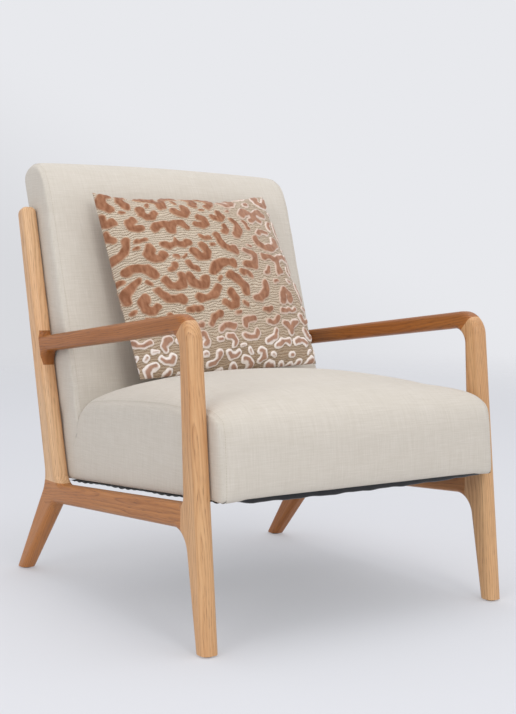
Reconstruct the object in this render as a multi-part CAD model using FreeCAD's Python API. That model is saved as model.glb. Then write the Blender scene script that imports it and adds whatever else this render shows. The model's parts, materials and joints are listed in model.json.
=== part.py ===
import FreeCAD, Part
import math
import os

from FreeCAD import Vector

# Wooden armchair: two open side frames carry one upholstered seat-and-back unit and a loose cushion.
#
# Side views are drawn as (y, z) in millimetres: y runs to the rear from the middle of the front
# foot, z up from the floor. Every shape is then shifted by ORIGIN_Y, so that the finished chair has
# its origin on the floor under the middle of its box. The chair faces -Y, so its own left is +X.

ORIGIN_Y = 374.4            # from the front foot's middle to the middle of the chair's depth

# --- show-wood side frames -----------------------------------------------------------------------
FRAME_X = 320.0             # middle of each side frame from the chair's middle
WOOD = 31.0                 # thickness of the side frames
EDGE_ROUND = 11.0           # rounding of every long edge
GLIDE_HEIGHT = 3.0          # the feet stand on glides this high

# Upright edges as (y at the floor, lean in y per mm of height).
FRONT_LEG_FRONT = (-16.0, 0.104)
FRONT_LEG_REAR_LOW = (15.0, 0.191)
FRONT_LEG_REAR_HIGH = (45.0, 0.058)
POST_FRONT = (476.0, 0.288)
POST_REAR = (538.3, 0.255)
REAR_LEG_FRONT = (699.0, -0.912)
REAR_LEG_REAR = (733.0, -0.694)
# Lying edges as (z at y = 0, rise in z per mm to the rear).
ARM_TOP = (559.8, -0.113)
ARM_BOTTOM = (527.9, -0.113)
RAIL_TOP = (244.6, -0.080)
RAIL_BOTTOM = (201.8, -0.072)
POST_TOP = (955.0, -0.288)

ARM_CORNER_OUTSIDE = 48.0   # curve radii where the members flow into each other
ARM_CORNER_INSIDE = 30.0
ARM_REAR_TOP = 11.0
ARM_REAR_BOTTOM = 22.0
POST_END = 14.0
POST_TO_RAIL = 30.0
POST_TO_LEG = 60.0
LEG_TO_RAIL = 12.0
RAIL_TO_LEG_TOP = 12.0
RAIL_TO_LEG_BOTTOM = 42.0

LEG_SEAM_Y = 60.0           # glued joints: rail to front leg, post to rail, rail to rear leg, arm to post
POST_SEAM_Z = 205.0
REAR_LEG_SEAM = (-19.0, 0.30)
ARM_SEAM_DEPTH = 3.0
ARM_SEAM_Z = (433.0, 501.0)

DOWEL_RADIUS = 4.0
DOWEL_LENGTH = 40.0
MITRE_DOWEL_LENGTH = 22.0
DOWEL_SPREAD = 9.5          # each joint has two dowels, this far either side of its middle
MITRE_DOWEL_PLACE = 0.17    # middle of the mitre's wood, as a share from inside to outside corner

# --- upholstered unit ----------------------------------------------------------------------------
UNIT_HALF = 303.5           # half the width over the fabric
FABRIC = 1.5
PADDING = 6.0               # wadding between the timber and the fabric
SEAT_FRONT = (-20.0, 251.5)  # lower front corner of the seat
SEAT_PITCH = math.radians(4.4)
SEAT_SIDE = 154.0           # height of the seat at its side seams
SEAT_CROWN = 46.0           # how much higher the middle is
BACK_FOOT = (466.2, 210.0)  # where the front of the back meets the floor of the seat
BACK_RECLINE = math.radians(18.0)
BACK_LENGTH = 691.0
BACK_DEPTH = 101.0
BACK_TOP_FRONT = 66.0       # radii of the two top edges of the back
BACK_TOP_REAR = 28.0
COVER_GAP = 0.5             # between the seat cover and the back cover, where they are sewn together

TIMBER = 22.0               # board thickness of the inner frame
RAIL_HEIGHT = 70.0
RAIL_LIFT = 2.0             # inner rails above the bottom of the seat
WEB_WIDTH = 60.0
WEB_THICKNESS = 2.0
LINING = 1.0
LINING_DROP = 2.5

# --- fasteners -----------------------------------------------------------------------------------
BOLT_RADIUS = 4.0           # M8
BOLT_HEAD_RADIUS = 6.5
BOLT_HEAD_HEIGHT = 5.0
BOLT_LENGTH = 45.0
WASHER = (4.2, 10.0, 1.6)   # inner radius, outer radius, thickness
INSERT_RADIUS = 6.0
INSERT_LENGTH = 18.0
SPACER_RADIUS = 10.0
BOLT_PLACES = ((40.0, 292.0), (586.0, 292.0), (668.0, 590.0))

# --- loose cushion -------------------------------------------------------------------------------
CUSHION_CENTRE = (8.0, 526.0, 602.5)
CUSHION_SIZE = (430.0, 400.0)
CUSHION_HALF_DEPTH = 50.0
CUSHION_RECLINE = 23.5
CUSHION_ROLL = 3.5
CUSHION_FABRIC = 1.2

OUTSIDE = 900.0             # reach of the cutting blocks, past every edge of the chair


# --- plane geometry ------------------------------------------------------------------------------
def upright(edge):
    """An upright edge as a point and a direction in the side view."""
    return (edge[0], 0.0), (edge[1], 1.0)


def lying(edge):
    """A lying edge as a point and a direction in the side view."""
    return (0.0, edge[0]), (1.0, edge[1])


def meet(first, second):
    """The point where two lines of the side view cross."""
    (ay, az), (ady, adz) = first
    (by, bz), (bdy, bdz) = second
    along = ((by - ay) * bdz - (bz - az) * bdy) / (ady * bdz - adz * bdy)
    return ay + along * ady, az + along * adz


def level(edge, z):
    """The point of an upright edge at height z."""
    return edge[0] + edge[1] * z, z


def corner_arc(before, corner, after, radius):
    """The arc that rounds one corner of an outline: its start, middle and end."""
    to_before = (Vector(0, *before) - Vector(0, *corner)).normalize()
    to_after = (Vector(0, *after) - Vector(0, *corner)).normalize()
    half = to_before.getAngle(to_after) / 2
    tangent = radius / math.tan(half)
    middle = (to_before + to_after).normalize()
    start = Vector(0, *corner) + to_before * tangent
    end = Vector(0, *corner) + to_after * tangent
    top = Vector(0, *corner) + middle * (radius / math.sin(half) - radius)
    return start, top, end


def outline(corners):
    """A closed face in the side view from (point, radius) corners; radius 0 is a sharp corner."""
    edges = []
    stops = []
    for index, (point, radius) in enumerate(corners):
        before = corners[index - 1][0]
        after = corners[(index + 1) % len(corners)][0]
        if radius:
            start, top, end = corner_arc(before, point, after, radius)
            stops.append((start, end, Part.Arc(start, top, end).toShape()))
        else:
            stops.append((Vector(0, *point), Vector(0, *point), None))
    for index, (start, end, arc) in enumerate(stops):
        if arc:
            edges.append(arc)
        following = stops[(index + 1) % len(stops)][0]
        edges.append(Part.LineSegment(end, following).toShape())
    return Part.Face(Part.Wire(edges))


def across(face, low, high):
    """A side-view face made solid from x = low to x = high."""
    moved = face.translated(Vector(low, 0, 0))
    return moved.extrude(Vector(high - low, 0, 0))


def block(points, half=OUTSIDE):
    """A straight-sided block over a side-view polygon, as wide as the whole chair."""
    return across(outline([(point, 0) for point in points]), -half, half)


def seat_point(back, up):
    """A side-view point measured along and above the seat's bottom, from its lower front corner."""
    rear = (math.cos(SEAT_PITCH), -math.sin(SEAT_PITCH))
    rise = (math.sin(SEAT_PITCH), math.cos(SEAT_PITCH))
    return (SEAT_FRONT[0] + back * rear[0] + up * rise[0],
            SEAT_FRONT[1] + back * rear[1] + up * rise[1])


def back_point(deep, up):
    """A side-view point measured into and up the reclined back, from the foot of its front."""
    rear = (math.cos(BACK_RECLINE), -math.sin(BACK_RECLINE))
    rise = (math.sin(BACK_RECLINE), math.cos(BACK_RECLINE))
    return (BACK_FOOT[0] + deep * rear[0] + up * rise[0],
            BACK_FOOT[1] + deep * rear[1] + up * rise[1])


SEAT_BOTTOM_LINE = (seat_point(0, 0), (math.cos(SEAT_PITCH), -math.sin(SEAT_PITCH)))


def back_line(deep):
    """A line that runs up the back, this deep behind its front."""
    return back_point(deep, 0), (math.sin(BACK_RECLINE), math.cos(BACK_RECLINE))


def rod(x_from, x_to, place, radius):
    """A round bar along x at a side-view place."""
    base = Vector(min(x_from, x_to), *place)
    return Part.makeCylinder(radius, abs(x_to - x_from), base, Vector(1, 0, 0))


def cut_all(shape, tools):
    """The shape with every tool taken out of it."""
    for tool in tools:
        shape = shape.cut(tool)
    return shape


def both_sides(shape):
    """The shape and its mirror image on the other side of the chair, as one group."""
    return Part.makeCompound([shape, shape.mirror(Vector(0, 0, 0), Vector(1, 0, 0))])


# --- side frames ---------------------------------------------------------------------------------
def frame_blank():
    """A whole side frame before it is divided: outline less window, with its edges rounded."""
    front, arm_top = upright(FRONT_LEG_FRONT), lying(ARM_TOP)
    post_front, post_rear = upright(POST_FRONT), upright(POST_REAR)
    rail_bottom, post_top = lying(RAIL_BOTTOM), ((0.0, POST_TOP[0]), (1.0, POST_TOP[1]))
    foot = GLIDE_HEIGHT
    outer = outline([
        (level(FRONT_LEG_FRONT, foot), 0),
        (meet(front, arm_top), ARM_CORNER_OUTSIDE),
        (meet(arm_top, post_front), ARM_REAR_TOP),
        (meet(post_front, post_top), POST_END),
        (meet(post_rear, post_top), POST_END),
        (meet(post_rear, upright(REAR_LEG_REAR)), POST_TO_LEG),
        (level(REAR_LEG_REAR, foot), 0),
        (level(REAR_LEG_FRONT, foot), 0),
        (meet(upright(REAR_LEG_FRONT), rail_bottom), LEG_TO_RAIL),
        (meet(upright(FRONT_LEG_REAR_LOW), rail_bottom), RAIL_TO_LEG_BOTTOM),
        (level(FRONT_LEG_REAR_LOW, foot), 0),
    ])
    inner_front = upright(FRONT_LEG_REAR_HIGH)
    window = outline([
        (meet(inner_front, lying(ARM_BOTTOM)), ARM_CORNER_INSIDE),
        (meet(lying(ARM_BOTTOM), post_front), ARM_REAR_BOTTOM),
        (meet(post_front, lying(RAIL_TOP)), POST_TO_RAIL),
        (meet(lying(RAIL_TOP), inner_front), RAIL_TO_LEG_TOP),
    ])
    plank = across(outer, -WOOD / 2, WOOD / 2).cut(across(window, -WOOD, WOOD))
    rounded = [edge for edge in plank.Edges if on_a_side(edge) and not on_the_foot(edge)]
    return plank.makeFillet(EDGE_ROUND, rounded)


def on_a_side(edge):
    """True for an edge that lies in the inner or outer face of the side frame."""
    return edge.BoundBox.XLength < 0.001


def on_the_foot(edge):
    """True for an edge that lies in the sawn end of a leg."""
    return edge.BoundBox.ZLength < 0.001 and edge.BoundBox.ZMin < GLIDE_HEIGHT + 0.001


def joint_regions():
    """The side-view regions that divide a side frame at its glued joints."""
    inside = meet(upright(FRONT_LEG_REAR_HIGH), lying(ARM_BOTTOM))
    outside = meet(upright(FRONT_LEG_FRONT), lying(ARM_TOP))
    mitre = (outside[0] - inside[0], outside[1] - inside[1])
    mitre_in = (inside[0] - mitre[0], inside[1] - mitre[1])
    mitre_out = (outside[0] + mitre[0], outside[1] + mitre[1])
    low, high = ARM_SEAM_Z
    seam_low = (level(POST_FRONT, low)[0] + ARM_SEAM_DEPTH, low)
    seam_high = (level(POST_FRONT, high)[0] + ARM_SEAM_DEPTH, high)
    in_window = (508.0, 300.0)       # points of the open window, where nothing is cut
    behind_leg = (110.0, 300.0)
    before_post = 560.0
    leg_cut = [(LEG_SEAM_Y, 255.0), behind_leg]
    rear_cut = [(520.0, REAR_LEG_SEAM[0] + 520 * REAR_LEG_SEAM[1]),
                (720.0, REAR_LEG_SEAM[0] + 720 * REAR_LEG_SEAM[1])]
    return {
        "front_leg": [(-OUTSIDE, 0), (LEG_SEAM_Y, 0), *leg_cut, mitre_in, mitre_out, (-OUTSIDE, OUTSIDE)],
        "arm": [mitre_in, mitre_out, (0, OUTSIDE), (before_post, OUTSIDE), (before_post, high),
                seam_high, seam_low, (before_post, low)],
        "back_post": [(in_window[0], POST_SEAM_Z), in_window, (before_post, low), seam_low, seam_high,
                      (before_post, high), (before_post, OUTSIDE), (OUTSIDE, OUTSIDE),
                      (OUTSIDE, POST_SEAM_Z)],
        "side_rail": [(LEG_SEAM_Y, 0), *leg_cut, in_window, (in_window[0], POST_SEAM_Z),
                      (OUTSIDE, POST_SEAM_Z), (OUTSIDE, rear_cut[1][1]), rear_cut[1], rear_cut[0],
                      (rear_cut[0][0], 0)],
        "rear_leg": [(rear_cut[0][0], 0), rear_cut[0], rear_cut[1], (OUTSIDE, rear_cut[1][1]),
                     (OUTSIDE, 0)],
    }


def dowel_pair(middle, axis, length):
    """Two parallel dowels through a joint, spread across the dowels' own direction."""
    direction = Vector(0, *axis).normalize()
    spread = Vector(0, -direction.z, direction.y) * DOWEL_SPREAD
    centre = Vector(0, *middle)
    start = centre - direction * (length / 2)
    return [Part.makeCylinder(DOWEL_RADIUS, length, start + spread * side, direction)
            for side in (-1, 1)]


def joint_dowels():
    """The dowels that hold one side frame together, two in each glued joint."""
    inside = meet(upright(FRONT_LEG_REAR_HIGH), lying(ARM_BOTTOM))
    outside = meet(upright(FRONT_LEG_FRONT), lying(ARM_TOP))
    share = MITRE_DOWEL_PLACE
    mitre_middle = tuple(a + share * (b - a) for a, b in zip(inside, outside))
    mitre_axis = (outside[1] - inside[1], inside[0] - outside[0])
    arm_z = ARM_TOP[0] / 2 + ARM_BOTTOM[0] / 2 + ARM_TOP[1] * level(POST_FRONT, 470)[0]
    arm_middle = (level(POST_FRONT, arm_z)[0] + ARM_SEAM_DEPTH, arm_z)
    rail_z = (RAIL_TOP[0] + RAIL_BOTTOM[0]) / 2 + RAIL_TOP[1] * LEG_SEAM_Y
    post_y = (level(POST_FRONT, POST_SEAM_Z)[0] + level(POST_REAR, POST_SEAM_Z)[0]) / 2
    leg_y = 582.0
    leg_middle = (leg_y, REAR_LEG_SEAM[0] + leg_y * REAR_LEG_SEAM[1])
    pairs = [
        dowel_pair(mitre_middle, mitre_axis, MITRE_DOWEL_LENGTH),
        dowel_pair(arm_middle, (1.0, -POST_FRONT[1]), DOWEL_LENGTH),
        dowel_pair((LEG_SEAM_Y, rail_z), (1.0, RAIL_TOP[1]), DOWEL_LENGTH),
        dowel_pair((post_y, POST_SEAM_Z), (POST_REAR[1], 1.0), DOWEL_LENGTH),
        dowel_pair(leg_middle, (-REAR_LEG_SEAM[1], 1.0), DOWEL_LENGTH - 6),
    ]
    return [dowel for pair in pairs for dowel in pair]


def foot_places():
    """The middles of the front and rear feet in the side view, at the glides' top."""
    z = GLIDE_HEIGHT
    front = (level(FRONT_LEG_FRONT, z)[0] + level(FRONT_LEG_REAR_LOW, z)[0]) / 2
    rear = (level(REAR_LEG_FRONT, z)[0] + level(REAR_LEG_REAR, z)[0]) / 2
    return front, rear


def glide(y):
    """A round nail-on glide and its nail, standing under one foot of the left side frame."""
    pad_radius, nail_radius, nail_length, recess = 10.0, 1.5, 20.0, 1.0
    pad = Part.makeCylinder(pad_radius, GLIDE_HEIGHT, Vector(FRAME_X, y, 0))
    rim = [edge for edge in pad.Edges if edge.BoundBox.ZMax < 0.001]
    pad = pad.makeChamfer(0.8, rim)
    head = Part.makeCylinder(3 * nail_radius, recess, Vector(FRAME_X, y, recess))
    shank = Part.makeCylinder(nail_radius, nail_length, Vector(FRAME_X, y, recess + recess))
    nail = head.fuse(shank).removeSplitter()
    well = Part.makeCylinder(3 * nail_radius, recess, Vector(FRAME_X, y, 0))
    return cut_all(pad, [well, nail]), nail


def wooden_nodes():
    """The ten show-wood members, their dowels and the glides under their feet."""
    blank = frame_blank()
    dowels = joint_dowels()
    glides = [glide(y) for y in foot_places()]
    inner_face = FRAME_X - WOOD / 2
    sockets = [rod(inner_face, inner_face + INSERT_LENGTH, place, INSERT_RADIUS) for place in BOLT_PLACES]
    nodes = {}
    for name, region in joint_regions().items():
        member = cut_all(blank.common(block(region)), dowels)
        member = cut_all(member.translated(Vector(FRAME_X, 0, 0)), sockets)
        member = cut_all(member, [nail for _, nail in glides])
        nodes[name + "_left"] = member
        nodes[name + "_right"] = member.mirror(Vector(0, 0, 0), Vector(1, 0, 0))
    for side, x in (("left", FRAME_X), ("right", -FRAME_X)):
        nodes["frame_dowels_" + side] = Part.makeCompound(dowels).translated(Vector(x, 0, 0))
    nodes["foot_glides"] = both_sides(Part.makeCompound([pad for pad, _ in glides]))
    nodes["glide_nails"] = both_sides(Part.makeCompound([nail for _, nail in glides]))
    return nodes


# --- upholstered unit ----------------------------------------------------------------------------
def seat_profile(top):
    """Side view of the seat where it is this high, from its front to the front of the back."""
    rear_top = meet(back_line(-COVER_GAP), (seat_point(0, top - 12), SEAT_BOTTOM_LINE[1]))
    rear_bottom = meet(back_line(-COVER_GAP), SEAT_BOTTOM_LINE)
    return outline([
        (seat_point(0, 0), 5),
        (seat_point(0, top - 20), 40),
        (seat_point(170, top), 120),
        (seat_point(420, top), 150),
        (rear_top, 30),
        (rear_bottom, 0),
    ])


def back_profile():
    """Side view of the back, from the bottom of the seat to its top."""
    return outline([
        (meet(back_line(0), SEAT_BOTTOM_LINE), 0),
        (back_point(0, BACK_LENGTH), BACK_TOP_FRONT),
        (back_point(BACK_DEPTH, BACK_LENGTH), BACK_TOP_REAR),
        (meet(back_line(BACK_DEPTH), SEAT_BOTTOM_LINE), 0),
    ])


def seat_body(inset):
    """The whole seat as a solid, crowned across its width; inset shrinks it on every side."""
    wires = []
    for share in (-1.0, -0.5, 0.0, 0.5, 1.0):
        crown = SEAT_CROWN * (1 - share ** 2)
        wire = inset_face(seat_profile(SEAT_SIDE + crown), inset).OuterWire
        wires.append(wire.translated(Vector(share * (UNIT_HALF - inset), 0, 0)))
    return Part.makeLoft(wires, True, False)


def back_body(inset):
    """The whole back as a solid; inset shrinks it on every side."""
    half = UNIT_HALF - inset
    return across(inset_face(back_profile(), inset), -half, half)


def inset_face(face, inset):
    """A side-view face drawn smaller by the inset all round."""
    return face.makeOffset2D(-inset) if inset else face


def side_bolt_tools(radius):
    """Bars through both sides of the unit at every bolt, to cut its holes."""
    return [rod(-OUTSIDE, OUTSIDE, place, radius) for place in BOLT_PLACES]


def seat_board(back, up, x):
    """A straight board of the seat frame from ranges along, above and across the seat."""
    corners = [seat_point(back[0], up[0]), seat_point(back[0], up[1]),
               seat_point(back[1], up[1]), seat_point(back[1], up[0])]
    return across(outline([(point, 0) for point in corners]), x[0], x[1])


def back_board(deep, up, x):
    """A straight board of the back frame from ranges into, up and across the back."""
    corners = [back_point(deep[0], up[0]), back_point(deep[0], up[1]),
               back_point(deep[1], up[1]), back_point(deep[1], up[0])]
    return across(outline([(point, 0) for point in corners]), x[0], x[1])


RAIL_OUT = UNIT_HALF - FABRIC - PADDING      # outer and inner faces of the inner timber, in x
RAIL_IN = RAIL_OUT - TIMBER
SEAT_RAIL_UP = (RAIL_LIFT, RAIL_LIFT + RAIL_HEIGHT)
SEAT_BOX_BACK = (FABRIC + PADDING, 470.0)    # front and rear of the seat box, along the seat
STILE_DEEP = (46.0, 90.0)                    # front and rear faces of the back stiles
STILE_UP = (34.0, BACK_LENGTH - 50.0)
BACK_RAILS = {"back_bottom_rail": (40.0, 100.0), "back_middle_rail": (180.0, 240.0),
              "back_top_rail": (STILE_UP[1] - 60.0, STILE_UP[1])}
LINING_BACK = (4.0, 580.0)                   # front and rear edges of the lining, along the seat


def frame_space():
    """The room inside the covers that the seat box, its webbing and its side rails take."""
    return seat_board((SEAT_BOX_BACK[0], 555.0), (-20.0, SEAT_RAIL_UP[1] + 2 * WEB_THICKNESS),
                      (-RAIL_OUT, RAIL_OUT))


def lining_staples():
    """Staples that hold the lining to the front rail and the side rails, from below."""
    wire, width, leg = 1.0, 10.0, 8.0
    low = -LINING_DROP - wire
    front, rear = SEAT_BOX_BACK
    middle = front + TIMBER / 2
    spots = [(x, middle) for x in range(-240, 241, 60)]
    staples = [staple((middle, low), (x - width / 2, x + width / 2), wire, leg) for x, _ in spots]
    side_x = (RAIL_IN + RAIL_OUT) / 2
    for step in range(9):
        back = front + 40 + step * (rear - front - 40) / 8
        for x in (-side_x, side_x):
            staples.append(staple((back, low), (x - wire / 2, x + wire / 2), wire, leg, width))
    return staples


def staple(place, x, wire, leg, width=None):
    """One wire staple below the lining: a crown and two legs, across the seat or along it."""
    back, low = place
    half = width / 2 if width else wire / 2
    crown = seat_board((back - half, back + half), (low, low + wire), x)
    if width:
        ends = [((back - half, back - half + wire), x), ((back + half - wire, back + half), x)]
    else:
        ends = [((back - half, back + half), (x[0], x[0] + wire)),
                ((back - half, back + half), (x[1] - wire, x[1]))]
    legs = [seat_board(along, (low + wire, low + wire + leg), span) for along, span in ends]
    return crown.multiFuse(legs).removeSplitter()


def stile_screws():
    """Two long screws on each side, from behind the stile into the end of the side rail."""
    x = (RAIL_IN + RAIL_OUT) / 2
    rear = Vector(0, *SEAT_BOTTOM_LINE[1])
    length, radius = 90.0, 2.5
    screws = []
    for up in (22.0, 50.0):
        start = meet(back_line(STILE_DEEP[1]), (seat_point(0, up), SEAT_BOTTOM_LINE[1]))
        screws.append(Part.makeCylinder(radius, length, Vector(x, *start), -rear))
    return screws


def seat_frame_nodes():
    """The timber box of the seat with its corner blocks, screws and staples."""
    front, rear = SEAT_BOX_BACK
    staples, long_screws = lining_staples(), stile_screws()
    corners = [seat_point(front, SEAT_RAIL_UP[0]), seat_point(front, SEAT_RAIL_UP[1]),
               meet(back_line(STILE_DEEP[0]), (seat_point(0, SEAT_RAIL_UP[1]), SEAT_BOTTOM_LINE[1])),
               meet(back_line(STILE_DEEP[0]), (seat_point(0, SEAT_RAIL_UP[0]), SEAT_BOTTOM_LINE[1]))]
    side = across(outline([(point, 0) for point in corners]), RAIL_IN, RAIL_OUT)
    side = cut_all(side, side_bolt_tools(BOLT_RADIUS + 0.2) + long_screws)
    leg, screw_radius, screw_length = 55.0, 2.0, 40.0
    blocks, screws = [], []
    for corner, inwards in ((front + TIMBER, 1), (rear - TIMBER, -1)):
        plate = Part.Face(Part.makePolygon([
            Vector(RAIL_IN, *seat_point(corner, 8)),
            Vector(RAIL_IN - leg, *seat_point(corner, 8)),
            Vector(RAIL_IN, *seat_point(corner + inwards * leg, 8)),
            Vector(RAIL_IN, *seat_point(corner, 8))]))
        up = Vector(0, math.sin(SEAT_PITCH), math.cos(SEAT_PITCH)) * TIMBER
        middle = seat_point(corner + inwards * leg * 0.3, 8 + TIMBER / 2)
        screw = rod(RAIL_IN - leg * 0.35, RAIL_IN - leg * 0.35 + screw_length, middle, screw_radius)
        screws.append(screw)
        blocks.append(plate.extrude(up).cut(screw))
    side = cut_all(side, screws + staples)
    other = side.mirror(Vector(0, 0, 0), Vector(1, 0, 0))
    front_rail = seat_board((front, front + TIMBER), SEAT_RAIL_UP, (-RAIL_IN, RAIL_IN))
    return {
        "seat_side_rail_left": side,
        "seat_side_rail_right": other,
        "seat_front_rail": cut_all(front_rail, staples),
        "seat_rear_rail": seat_board((rear - TIMBER, rear), SEAT_RAIL_UP, (-RAIL_IN, RAIL_IN)),
        "corner_blocks": both_sides(Part.makeCompound(blocks)),
        "corner_block_screws": both_sides(Part.makeCompound(screws)),
        "stile_screws": both_sides(Part.makeCompound(long_screws)),
        "lining_staples": Part.makeCompound(staples),
    }


def webbing_nodes():
    """Elastic webbing: lengthwise and crosswise straps on the seat, crosswise straps on the back."""
    low = SEAT_RAIL_UP[1]
    middle = low + WEB_THICKNESS
    high = middle + WEB_THICKNESS
    front, rear = SEAT_BOX_BACK
    straps = 5
    pitch = (rear - front) / straps
    crosswise, lengthwise, backs = [], [], []
    gap = 2 * RAIL_IN / straps
    deep = (STILE_DEEP[0] - WEB_THICKNESS, STILE_DEEP[0])
    lowest = BACK_RAILS["back_middle_rail"][0]
    rise = (STILE_UP[1] - lowest - WEB_WIDTH) / (straps - 1)
    for i in range(straps):
        back = front + pitch * (i + 0.5)
        x = -RAIL_IN + gap * (i + 0.5)
        up = lowest + rise * i
        crosswise.append(seat_board((back - WEB_WIDTH / 2, back + WEB_WIDTH / 2), (low, middle),
                                    (-RAIL_OUT + 2, RAIL_OUT - 2)))
        lengthwise.append(seat_board((front + 2, rear - 2), (middle, high),
                                     (x - WEB_WIDTH / 2, x + WEB_WIDTH / 2)))
        backs.append(back_board(deep, (up, up + WEB_WIDTH), (-RAIL_OUT + 2, RAIL_OUT - 2)))
    return {
        "seat_webbing_crosswise": Part.makeCompound(crosswise),
        "seat_webbing_lengthwise": Part.makeCompound(lengthwise),
        "back_webbing": Part.makeCompound(backs),
    }


def back_frame_nodes():
    """The timber ladder of the back: two stiles and three rails between them."""
    stile = back_board(STILE_DEEP, STILE_UP, (RAIL_IN, RAIL_OUT))
    stile = cut_all(stile, side_bolt_tools(BOLT_RADIUS + 0.2) + stile_screws())
    rail_deep = (STILE_DEEP[0] + 4, STILE_DEEP[0] + 4 + TIMBER)
    nodes = {name: back_board(rail_deep, up, (-RAIL_IN, RAIL_IN)) for name, up in BACK_RAILS.items()}
    nodes["back_stile_left"] = stile
    nodes["back_stile_right"] = stile.mirror(Vector(0, 0, 0), Vector(1, 0, 0))
    return nodes


def soft_nodes():
    """Covers, foams and the lining of the upholstered unit."""
    holes = side_bolt_tools(SPACER_RADIUS)
    low, high = -30.0, 20.0
    mouth = block([seat_point(25, low), seat_point(25, high), seat_point(565, high),
                   seat_point(565, low)], RAIL_IN)
    space = frame_space()
    staples = lining_staples()
    stile_space = back_board((STILE_DEEP[0] - WEB_THICKNESS, BACK_DEPTH - FABRIC), (-200.0, STILE_UP[1]),
                             (-RAIL_OUT, RAIL_OUT))
    seat_inner, back_inner = seat_body(FABRIC), back_body(FABRIC)
    lining = seat_board(LINING_BACK, (-LINING_DROP, -LINING_DROP + LINING), (-RAIL_OUT, RAIL_OUT))
    above = seat_board((-20.0, 620.0), (RAIL_LIFT, 700.0), (-OUTSIDE, OUTSIDE))
    return {
        "seat_cover": cut_all(seat_body(0).cut(seat_inner), [mouth, space.common(above), *holes,
                                                               *staples]),
        "seat_foam": cut_all(seat_inner, [space, *holes]),
        "back_cover": cut_all(back_body(0).cut(back_inner), [mouth, space.common(above), *holes]),
        "back_foam": cut_all(back_inner, [space, stile_space, *holes]),
        "seat_lining": cut_all(lining, staples),
    }


# --- fasteners -----------------------------------------------------------------------------------
def fastener_nodes():
    """Bolts from inside the unit, through washer, timber and spacer, into inserts in the wood."""
    inner_face = FRAME_X - WOOD / 2
    bolts, washers, spacers, inserts = [], [], [], []
    for place in BOLT_PLACES:
        hole, rim, thick = WASHER
        washer_face = RAIL_IN - thick
        shank = rod(washer_face, washer_face + BOLT_LENGTH, place, BOLT_RADIUS)
        head = rod(washer_face - BOLT_HEAD_HEIGHT, washer_face, place, BOLT_HEAD_RADIUS)
        socket = hexagon_bar(washer_face - BOLT_HEAD_HEIGHT, 3.0, place, 3.0)
        bolts.append(head.fuse(shank).removeSplitter().cut(socket))
        washers.append(rod(washer_face, RAIL_IN, place, rim).cut(rod(washer_face, RAIL_IN, place, hole)))
        spacers.append(rod(RAIL_OUT, inner_face, place, SPACER_RADIUS)
                       .cut(rod(RAIL_OUT, inner_face, place, BOLT_RADIUS + 0.2)))
        inserts.append(rod(inner_face, inner_face + INSERT_LENGTH, place, INSERT_RADIUS)
                       .cut(rod(inner_face, inner_face + INSERT_LENGTH, place, BOLT_RADIUS)))
    groups = {"frame_bolts": bolts, "bolt_washers": washers, "bolt_spacers": spacers,
              "threaded_inserts": inserts}
    return {name: both_sides(Part.makeCompound(solids)) for name, solids in groups.items()}


def hexagon_bar(x_from, length, place, radius):
    """A six-sided bar along x, for the socket in a bolt's head."""
    points = [Vector(x_from, place[0] + radius * math.cos(math.radians(60 * k)),
                     place[1] + radius * math.sin(math.radians(60 * k))) for k in range(7)]
    return Part.Face(Part.makePolygon(points)).extrude(Vector(length, 0, 0))


# --- loose cushion -------------------------------------------------------------------------------
def cushion_ring(width, height, depth):
    """A rounded square about the cushion's own middle, this far in front of its seam."""
    radius = min(width, height) * 0.12
    x, z = width / 2, height / 2
    corners = [((-x, -z), radius), ((x, -z), radius), ((x, z), radius), ((-x, z), radius)]
    wire = outline(corners).OuterWire
    wire.rotate(Vector(0, 0, 0), Vector(0, 0, 1), -90)
    wire.translate(Vector(0, depth, 0))
    return wire


def cushion_body(inset):
    """The stuffed cushion as a solid: full in the middle and thin at its seam."""
    width, height = CUSHION_SIZE[0] - 2 * inset, CUSHION_SIZE[1] - 2 * inset
    rings = []
    for share in (-1.0, -0.8, 0.0, 0.8, 1.0):
        depth = (CUSHION_HALF_DEPTH - inset) * share
        shrink = 1 - 0.55 * abs(share) ** 2.2
        rings.append(cushion_ring(width * shrink, height * shrink, depth))
    return Part.makeLoft(rings, True, True)


def cushion_nodes():
    """The loose cushion's cover and its pad, leaning on the back and standing on the seat."""
    outer, inner = cushion_body(0), cushion_body(CUSHION_FABRIC)
    nodes = {"cushion_cover": outer.cut(inner), "cushion_pad": inner}
    for shape in nodes.values():
        shape.rotate(Vector(0, 0, 0), Vector(0, 1, 0), -CUSHION_ROLL)
        shape.rotate(Vector(0, 0, 0), Vector(1, 0, 0), -CUSHION_RECLINE)
        shape.translate(Vector(*CUSHION_CENTRE))
    return nodes


# --- export --------------------------------------------------------------------------------------
def main():
    os.makedirs("parts", exist_ok=True)
    nodes = {}
    makers = (wooden_nodes, seat_frame_nodes, webbing_nodes, back_frame_nodes, soft_nodes,
              fastener_nodes, cushion_nodes)
    for maker in makers:
        nodes.update(maker())
    for name, shape in nodes.items():
        placed = shape.translated(Vector(0, -ORIGIN_Y, 0))
        placed.exportStep("parts/" + name + ".step")
        print(name, len(placed.Solids), placed.isValid(), round(placed.Volume / 1000, 1), "cm3")


main()
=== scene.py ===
import json
import math

import bmesh
import bpy
import numpy as np
from mathutils import Matrix, Vector
from mathutils.bvhtree import BVHTree


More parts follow.
